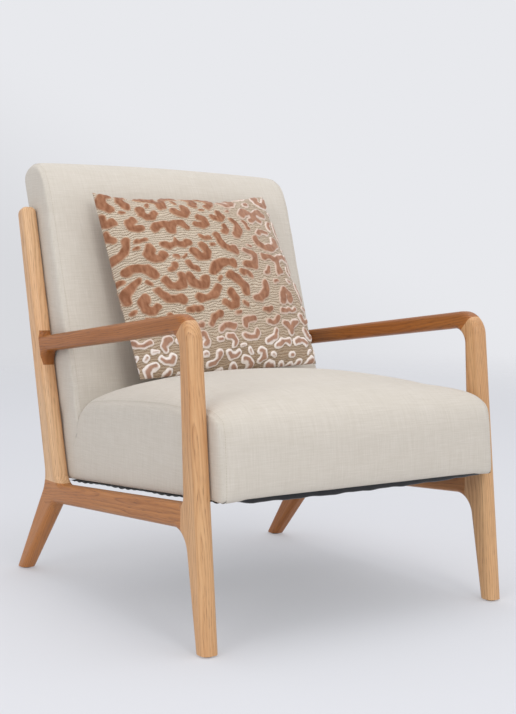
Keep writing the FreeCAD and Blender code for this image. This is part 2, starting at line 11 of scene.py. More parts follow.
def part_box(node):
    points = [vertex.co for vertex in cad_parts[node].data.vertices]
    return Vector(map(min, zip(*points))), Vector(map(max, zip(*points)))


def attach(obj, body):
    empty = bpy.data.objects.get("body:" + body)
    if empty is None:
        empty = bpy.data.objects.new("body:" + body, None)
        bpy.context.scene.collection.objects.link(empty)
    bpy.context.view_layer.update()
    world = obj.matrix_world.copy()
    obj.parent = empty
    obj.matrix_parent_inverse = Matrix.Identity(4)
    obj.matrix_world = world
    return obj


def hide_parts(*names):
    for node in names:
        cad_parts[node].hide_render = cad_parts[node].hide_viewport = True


# Looks of the wooden armchair: lacquered ash frames, one linen seat-and-back unit and a velvet cushion.
# Metres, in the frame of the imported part: +Z up, the chair faces -Y, its own left is +X.

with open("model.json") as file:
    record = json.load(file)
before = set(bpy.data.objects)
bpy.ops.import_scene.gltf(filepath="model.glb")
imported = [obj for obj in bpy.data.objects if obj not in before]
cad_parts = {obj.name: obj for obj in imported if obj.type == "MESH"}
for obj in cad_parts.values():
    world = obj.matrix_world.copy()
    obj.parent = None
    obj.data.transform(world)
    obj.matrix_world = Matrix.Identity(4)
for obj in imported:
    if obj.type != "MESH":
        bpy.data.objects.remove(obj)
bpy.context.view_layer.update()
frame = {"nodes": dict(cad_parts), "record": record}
NODES = frame["nodes"]
CHAIR, CUSHION = "chair", "scatter_cushion"

# --- camera --------------------------------------------------------------------------------------
CAMERA_PLACE = (-1.3374, -1.9921, 0.6078)
CAMERA_YAW, CAMERA_PITCH, CAMERA_ROLL = (math.radians(a) for a in (34.4947, -3.6914, 0.5688))
CAMERA_LENS, CAMERA_SENSOR = 60.70, 36.0

# --- seat and back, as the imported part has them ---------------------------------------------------
SEAT_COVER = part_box("seat_cover")
UNIT_HALF = SEAT_COVER[1].x
SEAT_FRONT = (SEAT_COVER[0].y, 0.2515)       # lower front corner of the seat
SEAT_PITCH = math.radians(4.4)
BACK_FOOT = (SEAT_FRONT[0] + 0.4862, 0.210)  # where the front of the back meets the floor of the seat
BACK_RECLINE = math.radians(18.0)


def srgb(r, g, b):
    """A screen colour from 0 to 255 as linear values."""
    def channel(v):
        v /= 255
        return v / 12.92 if v <= 0.04045 else ((v + 0.055) / 1.055) ** 2.4
    return channel(r), channel(g), channel(b)


def shade(colour, factor):
    """A colour made darker or paler, by one factor or by one for each channel."""
    return tuple(np.minimum(1.0, np.multiply(colour, factor)).tolist())


# --- small node-graph language -------------------------------------------------------------------
class Graph:
    """A material's nodes, made one call at a time."""

    def __init__(self, name):
        self.material = bpy.data.materials.new(name)
        self.material.use_nodes = True
        self.tree = self.material.node_tree
        self.tree.nodes.clear()
        self.output = self.node("OutputMaterial")
        self.shader = self.node("BsdfPrincipled")
        self.tree.links.new(self.shader.outputs[0], self.output.inputs["Surface"])

    def node(self, kind, **settings):
        made = self.tree.nodes.new("ShaderNode" + kind)
        for key, value in settings.items():
            setattr(made, key, value)
        return made

    def put(self, socket, value):
        if isinstance(value, bpy.types.NodeSocket):
            self.tree.links.new(value, socket)
        elif hasattr(value, "__len__") and len(value) == 3 and socket.type == "RGBA":
            socket.default_value = (*value, 1.0)
        else:
            socket.default_value = value

    def math(self, operation, a, b=0.0, clamp=False):
        made = self.node("Math", operation=operation, use_clamp=clamp)
        for socket, value in zip(made.inputs, (a, b)):
            self.put(socket, value)
        return made.outputs[0]

    def add(self, a, b, clamp=False):
        return self.math("ADD", a, b, clamp)

    def minus(self, a, b):
        return self.math("SUBTRACT", a, b)

    def times(self, a, b):
        return self.math("MULTIPLY", a, b)

    def over(self, a, b):
        return self.math("DIVIDE", a, b)

    def wave(self, value, pitch):
        """A smooth wave from 0 to 1 that repeats at this pitch."""
        return self.add(self.times(self.math("SINE", self.times(value, 2 * math.pi / pitch)), 0.5), 0.5)

    def length(self, vector):
        made = self.node("VectorMath", operation="LENGTH")
        self.put(made.inputs[0], vector)
        return made.outputs["Value"]

    def scaled(self, vector, factors):
        made = self.node("VectorMath", operation="MULTIPLY")
        self.put(made.inputs[0], vector)
        self.put(made.inputs[1], factors)
        return made.outputs[0]

    def split(self, vector):
        made = self.node("SeparateXYZ")
        self.put(made.inputs[0], vector)
        return made.outputs

    def join(self, x, y, z=0.0):
        made = self.node("CombineXYZ")
        for socket, value in zip(made.inputs, (x, y, z)):
            self.put(socket, value)
        return made.outputs[0]

    def noise(self, vector, scale=1.0, detail=2.0, roughness=0.5):
        made = self.node("TexNoise")
        values = {"Vector": vector, "Scale": scale, "Detail": detail, "Roughness": roughness}
        for key, value in values.items():
            self.put(made.inputs[key], value)
        return made.outputs["Fac"]

    def grain(self, u, v, per_u, per_v, layer=0.0, detail=2.0):
        """Noise over two flat coordinates, each with its own fineness."""
        return self.noise(self.join(self.times(u, per_u), self.times(v, per_v), layer), detail=detail)

    def ramp(self, value, *stops, smooth=False):
        """A colour ramp; each stop is (position, colour or grey)."""
        made = self.node("ValToRGB")
        ramp = made.color_ramp
        ramp.interpolation = "EASE" if smooth else "LINEAR"
        while len(ramp.elements) < len(stops):
            ramp.elements.new(0.5)
        for element, (position, colour) in zip(ramp.elements, stops):
            grey = not hasattr(colour, "__len__")
            element.position = position
            element.color = (colour,) * 3 + (1.0,) if grey else (*colour, 1.0)
        self.put(made.inputs[0], value)
        return made.outputs[0]

    def mix(self, share, a, b):
        made = self.node("Mix", data_type="RGBA", blend_type="MIX")
        self.put(made.inputs[0], share)
        self.put(made.inputs[6], a)
        self.put(made.inputs[7], b)
        return made.outputs[2]

    def bump(self, height, distance, strength):
        made = self.node("Bump")
        for key, value in {"Height": height, "Distance": distance, "Strength": strength}.items():
            self.put(made.inputs[key], value)
        return made.outputs[0]

    def place(self, kind="Object"):
        return self.node("TexCoord").outputs[kind]

    def attribute(self, name):
        return self.node("Attribute", attribute_name=name).outputs["Fac"]

    def finish(self, **values):
        for key, value in values.items():
            self.put(self.shader.inputs[key.replace("_", " ")], value)
        return self.material


# --- materials -----------------------------------------------------------------------------------
def wood(name, lean, seed, light, dark, ring=0.0040, figure=None):
    """Lacquered open-pored wood whose grain leans this far from +Z towards +Y.

    figure is the height of a swirl in the grain, where the rings turn across the piece.
    """
    g = Graph(name)
    turn = g.node("VectorRotate", rotation_type="X_AXIS")
    g.put(turn.inputs["Vector"], g.place())
    g.put(turn.inputs["Angle"], lean)
    x, y, along = g.split(turn.outputs[0])
    shift = g.add(along, seed * 0.53)

    def stretched(across_scale, along_scale, detail=2.0, roughness=0.5, offset=0.0):
        """Noise drawn out along the grain."""
        vector = g.join(g.times(g.add(x, offset), across_scale), g.times(y, across_scale),
                        g.times(shift, along_scale))
        return g.noise(vector, detail=detail, roughness=roughness)

    slow = stretched(11.0, 1.6, 3.0, offset=seed * 0.37)
    radius = g.length(g.join(g.add(x, 0.03 + 0.01 * seed), g.add(y, 0.06 + 0.02 * (seed % 3))))
    rings = g.add(radius, g.times(slow, 0.060))
    if figure is not None:
        away = g.over(g.minus(g.split(g.place())[2], figure), 0.020)
        swirl = g.over(1.0, g.add(g.times(away, away), 1.0))
        rings = g.add(rings, g.times(swirl, 0.011))
    wave = g.math("FRACT", g.over(rings, ring))
    early = g.ramp(wave, (0.0, 1.0), (0.22, 0.55), (0.5, 0.10), (0.86, 0.0), (1.0, 0.9))
    fibre = g.ramp(stretched(430.0, 9.0, 3.0, 0.6), (0.36, 0.0), (0.66, 1.0))
    bands = g.ramp(stretched(62.0, 1.1, 2.0, offset=seed * 0.71), (0.34, 0.0), (0.68, 1.0))
    pores = g.ramp(stretched(900.0, 42.0, 1.0), (0.55, 0.0), (0.66, 1.0))
    pores = g.times(pores, g.add(g.times(early, 0.8), 0.2))
    tone = g.add(g.times(early, 0.40), g.times(fibre, 0.26))
    tone = g.add(tone, g.times(bands, 0.34), clamp=True)
    colour = g.mix(tone, light, dark)
    patch = g.ramp(stretched(13.0, 4.0, 1.0, offset=seed * 0.19), (0.35, 0.0), (0.7, 1.0))
    warm = shade(dark, (1.45, 1.22, 0.95))
    colour = g.mix(g.times(patch, 0.28), colour, warm)
    colour = g.mix(g.times(pores, 0.60), colour, shade(dark, 0.36))
    # Painted highlight: the convex edges are made paler.
    painted_edge_highlight = g.ramp(g.node("NewGeometry").outputs["Pointiness"], (0.50, 0.0), (0.60, 1.0))
    colour = g.mix(g.times(painted_edge_highlight, 0.16), colour, shade(light, 1.3))
    height = g.minus(g.times(fibre, 0.15), pores)
    roughness = g.add(g.times(fibre, 0.10), 0.36)
    return g.finish(Base_Color=colour, Roughness=roughness, Normal=g.bump(height, 0.0005, 0.40),
                    Coat_Weight=0.12, Coat_Roughness=0.30, Specular_IOR_Level=0.38)


THREAD = 0.00095     # pitch of the linen's threads


def linen(name, base):
    """Heathered plain weave: warp and weft threads with slubs, on the piece's own flat coordinates."""
    g = Graph(name)
    u, v, _ = g.split(g.place("UV"))
    drift = g.grain(u, v, 30.0, 30.0)
    drift = g.times(drift, 0.0025)
    u2, v2 = g.add(u, drift), g.add(v, drift)

    def threads(across, along, seed):
        """One direction of threads: its relief, and a tone of its own for each thread."""
        return g.wave(across, THREAD), g.grain(across, along, 0.62 / THREAD, 26.0, seed, detail=1.0)

    warp, warp_tone = threads(u2, v2, 1.7)
    weft, weft_tone = threads(v2, u2, 8.3)
    over = g.wave(g.add(u2, v2), 2 * THREAD)
    relief = g.add(g.times(warp, over), g.times(weft, g.minus(1.0, over)))
    tone = g.add(g.times(warp_tone, 0.5), g.times(weft_tone, 0.5))
    wide = g.grain(u, v, 7.0, 7.0, 2.0)
    slub_u = g.grain(u, v, 26.0, 520.0, 4.0)
    slub_v = g.grain(u, v, 520.0, 26.0, 6.0)
    slubs = g.add(g.times(slub_u, 0.5), g.times(slub_v, 0.5))
    dark = shade(base, (0.90, 0.885, 0.855))
    pale = shade(base, (1.05, 1.05, 1.055))
    colour = g.mix(g.ramp(tone, (0.30, 0.0), (0.70, 1.0)), dark, pale)
    colour = g.mix(g.times(g.ramp(slubs, (0.42, 1.0), (0.56, 0.0)), 0.30), colour, dark)
    colour = g.mix(g.times(g.ramp(wide, (0.35, 0.0), (0.65, 1.0)), 0.10), colour, pale)
    # Painted shade: the hollows between the threads are darkened.
    thread_hollow_shade = g.minus(1.0, relief)
    colour = g.mix(g.times(thread_hollow_shade, 0.14), colour, shade(dark, 0.5))
    height = g.add(g.times(relief, 0.7), g.times(slubs, 0.5))
    return g.finish(Base_Color=colour, Roughness=0.88, Normal=g.bump(height, 0.0005, 0.40),
                    Sheen_Weight=0.22, Sheen_Roughness=0.45, Specular_IOR_Level=0.18)


def velvet(name):
    """Cut velvet: raised pile spots with pale rims, a painted highlight, on a ribbed ground.

    Along the foot of the cushion and towards one side the colours are paler: painted sheen.
    """
    g = Graph(name)
    u, v, _ = g.split(g.place("UV"))
    wander = g.grain(u, v, 45.0, 45.0, detail=3.0)
    ragged = g.grain(u, v, 300.0, 300.0)
    clouds = g.grain(u, v, 13.0, 13.0, 3.0)
    low = g.add(g.times(v, -1.0), g.times(clouds, 0.09))
    foot = g.ramp(g.times(low, 4.0), (0.52, 0.0), (0.86, 1.0))
    aside = g.add(g.times(u, 3.2), g.times(clouds, 0.7))
    aside = g.ramp(aside, (0.45, 0.0), (0.95, 1.0))
    # Painted sheen: a mask that is strongest along the foot of the cushion and towards one side.
    painted_sheen = g.math("MAXIMUM", foot, g.times(aside, 0.62))

    spot = g.add(g.attribute("pile"), g.times(g.minus(ragged, 0.5), 0.16))
    pile = g.ramp(g.add(spot, 0.5), (0.45, 0.0), (0.56, 1.0))
    # The painted sheen also widens the pale rims into the spots.
    depth = g.minus(spot, g.times(painted_sheen, 0.30))
    heart = g.ramp(g.add(depth, 0.5), (0.54, 0.0), (0.90, 1.0))
    nap = g.grain(u, v, 120.0, 50.0, 5.0, detail=3.0)
    core = g.mix(g.ramp(nap, (0.35, 0.0), (0.68, 1.0)), PILE_DARK, PILE_LIGHT)
    core = g.mix(g.times(painted_sheen, 0.50), core, PILE_SHEEN)
    # Painted highlight: the spots' rims are paler, and paler still where the painted sheen lies.
    rim = g.mix(painted_sheen, PILE_RIM_HIGHLIGHT, PILE_RIM_SHEEN)
    spots = g.mix(heart, rim, core)

    # The ground's ribs run across the cushion, waver a little and are stitched in a fine zigzag.
    zigzag = g.math("ABSOLUTE", g.minus(g.math("FRACT", g.over(u, 0.0042)), 0.5))
    rib = g.wave(g.add(g.add(v, g.times(wander, 0.016)), g.times(zigzag, 0.0026)), GROUND_RIB)
    cord = g.grain(u, v, 260.0, 420.0, detail=3.0)
    ground = g.mix(g.ramp(rib, (0.0, 0.0), (0.34, 1.0)), GROUND_DARK, GROUND_LIGHT)
    ground = g.mix(g.times(g.ramp(cord, (0.38, 1.0), (0.62, 0.0)), 0.38), ground, GROUND_SHADE)
    ground = g.mix(g.times(painted_sheen, 0.55), ground, GROUND_IN_SHEEN)
    colour = g.mix(pile, ground, spots)
    height = g.add(g.times(rib, g.minus(1.0, pile)), g.times(cord, 0.35))
    return g.finish(Base_Color=colour, Roughness=0.82, Normal=g.bump(height, 0.0016, 0.7),
                    Sheen_Weight=0.45, Sheen_Roughness=0.35, Sheen_Tint=srgb(250, 238, 230),
                    Specular_IOR_Level=0.2)


# PILE_SHEEN is the spots' colour under the painted sheen.
PILE_DARK, PILE_LIGHT, PILE_SHEEN = srgb(130, 84, 58), srgb(164, 116, 87), srgb(192, 160, 142)
# Rim colours of the spots: painted highlight, and painted sheen.
PILE_RIM_HIGHLIGHT, PILE_RIM_SHEEN = srgb(190, 156, 130), srgb(240, 231, 224)
GROUND_DARK, GROUND_LIGHT, GROUND_SHADE = srgb(128, 106, 86), srgb(214, 200, 180), srgb(162, 140, 116)
# GROUND_IN_SHEEN is the ground's colour under the painted sheen.
GROUND_IN_SHEEN = srgb(160, 132, 104)
GROUND_RIB = 0.0058


def plain_cloth(name, base, pitch=0.0009, sheen=0.3):
    """A plain woven cloth on object coordinates, for backs, linings and webbing."""
    g = Graph(name)
    x, y, z = g.split(g.place())
    waves = [g.math("SINE", g.times(axis, 2 * math.pi / pitch)) for axis in (x, y, z)]
    weave = g.times(g.add(waves[0], waves[1]), g.add(waves[2], 1.2))
    mottle = g.noise(g.place(), scale=60.0, detail=3.0)
    fuzz = g.noise(g.place(), scale=900.0, detail=2.0)
    colour = g.mix(g.ramp(mottle, (0.3, 0.0), (0.7, 1.0)), shade(base, 0.80),
                   shade(base, 1.18))
    colour = g.mix(g.times(fuzz, 0.3), colour, shade(base, 0.6))
    normal = g.bump(g.add(g.times(weave, 0.12), fuzz), 0.0003, 0.5)
    return g.finish(Base_Color=colour, Roughness=0.85, Normal=normal, Sheen_Weight=sheen,
                    Sheen_Roughness=0.4, Specular_IOR_Level=0.2)


def thread(name, base):
    """Twisted sewing thread."""
    g = Graph(name)
    twist = g.noise(g.scaled(g.place(), (900.0, 1400.0, 1400.0)), detail=1.0)
    colour = g.mix(g.ramp(twist, (0.35, 0.0), (0.65, 1.0)), shade(base, 0.75), base)
    return g.finish(Base_Color=colour, Roughness=0.7, Normal=g.bump(twist, 0.0001, 0.5))


def metal(name, base, roughness):
    """Plated or turned metal with fine scratches."""
    g = Graph(name)
    scratch = g.noise(g.scaled(g.place(), (40.0, 700.0, 700.0)), detail=3.0)
    cloud = g.noise(g.place(), scale=120.0, detail=2.0)
    colour = g.mix(g.ramp(cloud, (0.3, 0.0), (0.7, 1.0)), shade(base, 0.85), base)
    rough = g.add(g.times(scratch, 0.2), roughness)
    return g.finish(Base_Color=colour, Roughness=rough, Metallic=1.0,
                    Normal=g.bump(scratch, 0.0001, 0.3))


def speckled(name, base, roughness):
    """Moulded plastic, foam or filling: an even, slightly grainy material."""
    g = Graph(name)
    grain = g.noise(g.place(), scale=300.0, detail=3.0)
    colour = g.mix(g.ramp(grain, (0.3, 0.0), (0.7, 1.0)), shade(base, 0.82),
                   shade(base, 1.1))
    return g.finish(Base_Color=colour, Roughness=roughness, Normal=g.bump(grain, 0.0003, 0.5))


# --- curves, grids and meshes -------------------------------------------------------------------------
def seat_point(back, up):
    """A side-view point measured along and above the seat's bottom, from its lower front corner."""
    return np.array([SEAT_FRONT[0] + back * math.cos(SEAT_PITCH) + up * math.sin(SEAT_PITCH),
                     SEAT_FRONT[1] - back * math.sin(SEAT_PITCH) + up * math.cos(SEAT_PITCH)])


def back_point(deep, up):
    """A side-view point measured into and up the reclined back, from the foot of its front."""
    return np.array([BACK_FOOT[0] + deep * math.cos(BACK_RECLINE) + up * math.sin(BACK_RECLINE),
                     BACK_FOOT[1] - deep * math.sin(BACK_RECLINE) + up * math.cos(BACK_RECLINE)])


def smooth_line(points, fine=24):
    """A dense smooth curve through the points."""
    p = np.asarray(points, float)
    p = np.vstack([2 * p[0] - p[1], p, 2 * p[-1] - p[-2]])
    out = []
    for a, b, c, d in zip(p[:-3], p[1:-2], p[2:-1], p[3:]):
        gaps = [max(np.linalg.norm(q - r), 1e-6) ** 0.5 for q, r in ((b, a), (c, b), (d, c))]
        m1 = (b - a) / gaps[0] - (c - a) / (gaps[0] + gaps[1]) + (c - b) / gaps[1]
        m2 = (c - b) / gaps[1] - (d - b) / (gaps[1] + gaps[2]) + (d - c) / gaps[2]
        m1, m2 = m1 * gaps[1], m2 * gaps[1]
        for k in range(fine):
            t = k / fine
            out.append((2 * t**3 - 3 * t**2 + 1) * b + (t**3 - 2 * t**2 + t) * m1
                       + (3 * t**2 - 2 * t**3) * c + (t**3 - t**2) * m2)
    out.append(p[-2])
    return np.array(out)


def run_along(points):
    """How far along a line of points each point is."""
    return np.concatenate([[0.0], np.cumsum(np.linalg.norm(np.diff(points, axis=0), axis=1))])


def spaced(points, count):
    """count + 1 points at even distances along a dense curve."""
    p = np.asarray(points)
    run = run_along(p)
    marks = np.linspace(0.0, run[-1], count + 1)
    return np.stack([np.interp(marks, run, p[:, k]) for k in range(p.shape[1])], axis=1)


def quads(index, turned=False):
    """The four-cornered faces of a grid of point numbers."""
    rings = np.stack([index[:-1, :-1], index[1:, :-1], index[1:, 1:], index[:-1, 1:]], axis=2)
    rings = rings.reshape(-1, 4)
    return (rings[:, ::-1] if turned else rings).tolist()


def two_sides(columns, rows):
    """Point numbers of a front and a rear grid that share their rim."""
    front = np.arange(columns * rows).reshape(columns, rows)
    rear = front.copy()
    rear[1:-1, 1:-1] = front.size + np.arange((columns - 2) * (rows - 2)).reshape(columns - 2, rows - 2)
    return front, rear


def mesh_object(name, points, faces, body=None):
    """A smooth mesh object in the part's frame, riding on a body if one is named."""
    mesh = bpy.data.meshes.new(name)
    mesh.from_pydata([tuple(p) for p in points], [], [tuple(f) for f in faces])
    mesh.update()
    made = bpy.data.objects.new(name, mesh)
    bpy.context.scene.collection.objects.link(made)
    mesh.polygons.foreach_set("use_smooth", [True] * len(mesh.polygons))
    if body:
        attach(made, body)
    return made


def apply_modifiers(piece):
    """Replaces the piece's mesh with what its modifiers make of it."""
    graph = bpy.context.evaluated_depsgraph_get()
    made = bpy.data.meshes.new_from_object(piece.evaluated_get(graph), preserve_all_data_layers=True,
                                           depsgraph=graph)
    piece.modifiers.clear()
    piece.data = made


def inflate(points, faces, pressure, frames, stiffness, bending, pins=None):
    """Blows a closed cloth up and returns its points; pins holds points that stay, from 0 to 1."""
    cloth_piece = mesh_object("cloth_under_pressure", points, faces)
    if pins is not None:
        group = cloth_piece.vertex_groups.new(name="pins")
        for index in np.nonzero(pins > 0.001)[0]:
            group.add([int(index)], float(pins[index]), "REPLACE")
    cloth = cloth_piece.modifiers.new("cloth", "CLOTH")
    settings = cloth.settings
    settings.quality = 6
    settings.mass = 0.3
    settings.tension_stiffness = settings.compression_stiffness = stiffness[0]
    settings.shear_stiffness = stiffness[1]
    settings.bending_stiffness = bending
    settings.use_pressure = True
    settings.uniform_pressure_force = pressure
    settings.effector_weights.gravity = 0.0
    settings.air_damping = 4.0
    if pins is not None:
        settings.vertex_group_mass = "pins"
    scene = bpy.context.scene
    cloth.point_cache.frame_start = 1
    cloth.point_cache.frame_end = frames
    for step in range(1, frames + 1):
        scene.frame_set(step)
    graph = bpy.context.evaluated_depsgraph_get()
    result = cloth_piece.evaluated_get(graph).to_mesh()
    blown = np.empty(len(result.vertices) * 3)
    result.vertices.foreach_get("co", blown)
    mesh = cloth_piece.data
    bpy.data.objects.remove(cloth_piece)
    bpy.data.meshes.remove(mesh)
    scene.frame_set(1)
    return blown.reshape(-1, 3)


# --- seat and back upholstery --------------------------------------------------------------------
# Side-view control points in metres. The seat's are (along, above its bottom), the back's are
# (into, up). They run along the sewn edge between the side panels and the long panel round the unit.
SEAT_TOP_EDGE = [(0.010, 0.127), (0.020, 0.1360), (0.039, 0.1455), (0.070, 0.1480), (0.120, 0.1480),
                 (0.193, 0.1540), (0.302, 0.1570), (0.400, 0.1560), (0.466, 0.1525), (0.497, 0.1455),
                 (0.512, 0.134)]
CREVICE_SEAT = [(-0.0035, 0.140), (-0.0025, 0.125)]
CREVICE_DEEP = (0.0, 0.105)
CREVICE_BACK = [(0.0005, 0.125), (0.0, 0.145)]
BACK_FRONT_EDGE = [(0.0, 0.20), (0.0, 0.30), (0.0, 0.42), (0.0, 0.54), (0.0008, 0.590), (0.0040, 0.624),
                   (0.0135, 0.654)]
BACK_TOP_EDGE = [(0.0135, 0.654), (0.031, 0.6755), (0.054, 0.6855), (0.078, 0.6855), (0.0935, 0.677)]
BACK_REAR_EDGE = [(0.0935, 0.677), (0.1005, 0.661), (0.1010, 0.640), (0.1010, 0.45), (0.1010, 0.25),
                  (0.1010, 0.02)]
SEAT_FRONT_EDGE = [(0.010, 0.127), (0.0042, 0.116), (0.0012, 0.098), (0.0, 0.060), (-0.0006, 0.010),
                   (0.0002, -0.0005), (0.0045, -0.0025)]
SEAT_STEPS, BACK_STEPS, THICK_STEPS, WIDE_STEPS = 38, 44, 11, 42
DOME_SHARE, SHOULDER = 0.76, 12      # the crown is part wide dome and part padded shoulder at its sides
BLOW_CAP = 0.0022                    # the most that the cloth's pressure moves a point
EDGE_PULL = 0.0040                   # how far the sewn edges draw in towards the foam
SEAM_WIDTH, SEAM_DEPTH = 0.0020, 0.0008  # half the width of the groove along a seam, and its depth
CORNER_HANG = 0.0048                 # how much lower the front bottom corners of the cover hang
REAR_PANEL_START = 3.0               # the outside-back panel is a cut of its own


def unit_edges():
    """The four edges of a side panel, as evenly spaced points: inner, outer, front and top."""
    crevice = back_point(*CREVICE_DEEP)
    seat_run = [seat_point(*p) for p in SEAT_TOP_EDGE] + [back_point(*p) for p in CREVICE_SEAT] + [crevice]
    back_run = [crevice] + [back_point(*p) for p in CREVICE_BACK + BACK_FRONT_EDGE]
    inner = np.vstack([spaced(smooth_line(seat_run), SEAT_STEPS)[:-1],
                       spaced(smooth_line(back_run), BACK_STEPS)])
    rear = smooth_line([back_point(*p) for p in BACK_REAR_EDGE])
    slope = math.tan(SEAT_PITCH)
    below = rear[:, 1] - (SEAT_FRONT[1] - (rear[:, 0] - SEAT_FRONT[0]) * slope)
    rear = rear[below > 0.004]
    heel = np.array([rear[-1][0] - 0.0015, SEAT_FRONT[1] - (rear[-1][0] - SEAT_FRONT[0]) * slope + 0.0008])
    toe = seat_point(*SEAT_FRONT_EDGE[-1])
    outer = np.vstack([spaced(np.array([toe, seat_point(0.03, 0.0), seat_point(0.3, 0.0), heel]),
                              SEAT_STEPS)[:-1],
                       spaced(np.vstack([[heel], rear[::-1]]), BACK_STEPS)])
    front = spaced(smooth_line([seat_point(*p) for p in SEAT_FRONT_EDGE]), THICK_STEPS)
    top = spaced(smooth_line([back_point(*p) for p in BACK_TOP_EDGE]), THICK_STEPS)
    return inner, outer, front, top


def between(inner, outer, front, top):
    """The side panel's grid of points, from its four edges."""
    rows, columns = len(inner), len(front)
    s = np.linspace(0, 1, rows)[:, None, None]
    t = np.linspace(0, 1, columns)[None, :, None]
    along = (1 - t) * inner[:, None] + t * outer[:, None]
    over = (1 - s) * front[None] + s * top[None]
    corners = ((1 - s) * (1 - t) * inner[0] + (1 - s) * t * outer[0] + s * (1 - t) * inner[-1]
               + s * t * outer[-1])
    return along + over - corners


def crown(inner, outer, front, top):
    """How far the middle of each edge point stands out from its sides, as side-view vectors."""
    up = np.array([math.sin(SEAT_PITCH), math.cos(SEAT_PITCH)])
    ahead = np.array([-math.cos(SEAT_PITCH), math.sin(SEAT_PITCH)])
    out = np.array([-math.cos(BACK_RECLINE), math.sin(BACK_RECLINE)])
    over = np.array([math.sin(BACK_RECLINE), math.cos(BACK_RECLINE)])
    along = np.linspace(0, 1, SEAT_STEPS + 1)
    rise = np.interp(along, [0, 0.06, 0.14, 0.26, 0.45, 0.75, 0.88, 0.95, 1.0],
                     [0.009, 0.015, 0.028, 0.040, 0.049, 0.049, 0.044, 0.026, 0.0])
    push = np.interp(along, [0, 0.05, 0.2], [0.006, 0.003, 0.0])
    seat = rise[:, None] * up + push[:, None] * ahead
    along = np.linspace(0, 1, BACK_STEPS + 1)
    swell = np.interp(along, [0, 0.16, 0.3, 0.6, 0.9, 1.0], [0, 0.0, 0.005, 0.008, 0.006, 0.003])
    lift = np.interp(along, [0, 0.9, 1.0], [0, 0, 0.004])
    back = swell[:, None] * out + lift[:, None] * over
    inner_crown = np.vstack([seat[:-1], back])
    t = np.linspace(0, 1, THICK_STEPS + 1)
    front_crown = (np.interp(t, [0, 0.3, 0.8, 1.0], [0.006, 0.007, 0.004, 0.0])[:, None] * ahead
                   + np.interp(t, [0, 0.35], [0.009, 0.0])[:, None] * up)
    top_crown = (np.interp(t, [0, 0.5, 1.0], [0.004, 0.006, 0.004])[:, None] * over
                 + np.interp(t, [0, 0.5], [0.003, 0.0])[:, None] * out)
    outer_crown = np.zeros_like(outer)
    outer_crown[-1] = top_crown[-1]
    return inner_crown, outer_crown, front_crown, top_crown


class Box:
    """Collects the six grids of a bent box and joins the points that they share."""

    def __init__(self):
        self.points, self.faces, self.uvs, self.keys, self.panels = [], [], [], {}, []

    def add(self, grid, uv, panel, flip=False):
        index = np.empty(grid.shape[:2], int)
        for i in range(grid.shape[0]):
            for j in range(grid.shape[1]):
                key = tuple(np.round(grid[i, j], 6))
                if key not in self.keys:
                    self.keys[key] = len(self.points)
                    self.points.append(grid[i, j])
                index[i, j] = self.keys[key]
        for i in range(grid.shape[0] - 1):
            for j in range(grid.shape[1] - 1):
                ring = [(i, j), (i + 1, j), (i + 1, j + 1), (i, j + 1)]
                if flip:
                    ring.reverse()
                self.faces.append([index[c] for c in ring])
                self.uvs.extend(tuple(uv[c]) for c in ring)
                self.panels.append(panel)
        return index


def hang_corners(grid):
    """Lets the cover's two front bottom corners hang a little lower than the hem between them."""
    back = (grid[..., 1] - SEAT_FRONT[0]) / math.cos(SEAT_PITCH)
    above = grid[..., 2] - SEAT_FRONT[1] + back * math.sin(SEAT_PITCH)
    near = np.clip(1 - above / 0.045, 0, 1) * np.clip(1 - back / 0.060, 0, 1)
    lowered = grid.copy()
    lowered[..., 2] -= CORNER_HANG * near * np.abs(grid[..., 0] / UNIT_HALF) ** 10
    return lowered


def unit_box():
    """The bent box of seat and back: its points, faces, flat coordinates and sewn edges."""
    edges = unit_edges()
    crowns = crown(*edges)
    share = np.linspace(-1, 1, WIDE_STEPS + 1)
    dome = DOME_SHARE * (1 - share ** 2) + (1 - DOME_SHARE) * (1 - share ** SHOULDER)
    box = Box()
    seam_rows = []
    lengths = [run_along(edge) for edge in edges]
    # The cloth runs on from the front over the seat, up the back and over its top.
    flats = [lengths[0], lengths[1] + REAR_PANEL_START, -lengths[2], lengths[0][-1] + lengths[3]]
    for number, (edge, swell) in enumerate(zip(edges, crowns)):
        flat = edge[:, None] + swell[:, None] * dome[None, :, None]
        x = np.broadcast_to(share[None, :, None] * UNIT_HALF, (len(edge), len(share), 1))
        grid = np.concatenate([x, flat], axis=2)
        uv = np.stack(np.broadcast_arrays(x[..., 0], flats[number][:, None]), axis=2)
        index = box.add(hang_corners(grid), uv, number, flip=number in (0, 3))
        seam_rows.append(index)
    panel = between(*edges)
    for side in (-1, 1):
        x = np.full(panel.shape[:2] + (1,), side * UNIT_HALF)
        box.add(hang_corners(np.concatenate([x, panel], axis=2)), panel + 3.0 * side, 4, flip=side > 0)
    seams = []
    for number, index in enumerate(seam_rows):
        rows = index if number != 1 else index[SEAT_STEPS + 1:]
        for column in (0, -1):
            seams.extend(zip(rows[:-1, column], rows[1:, column]))
    return box, seams


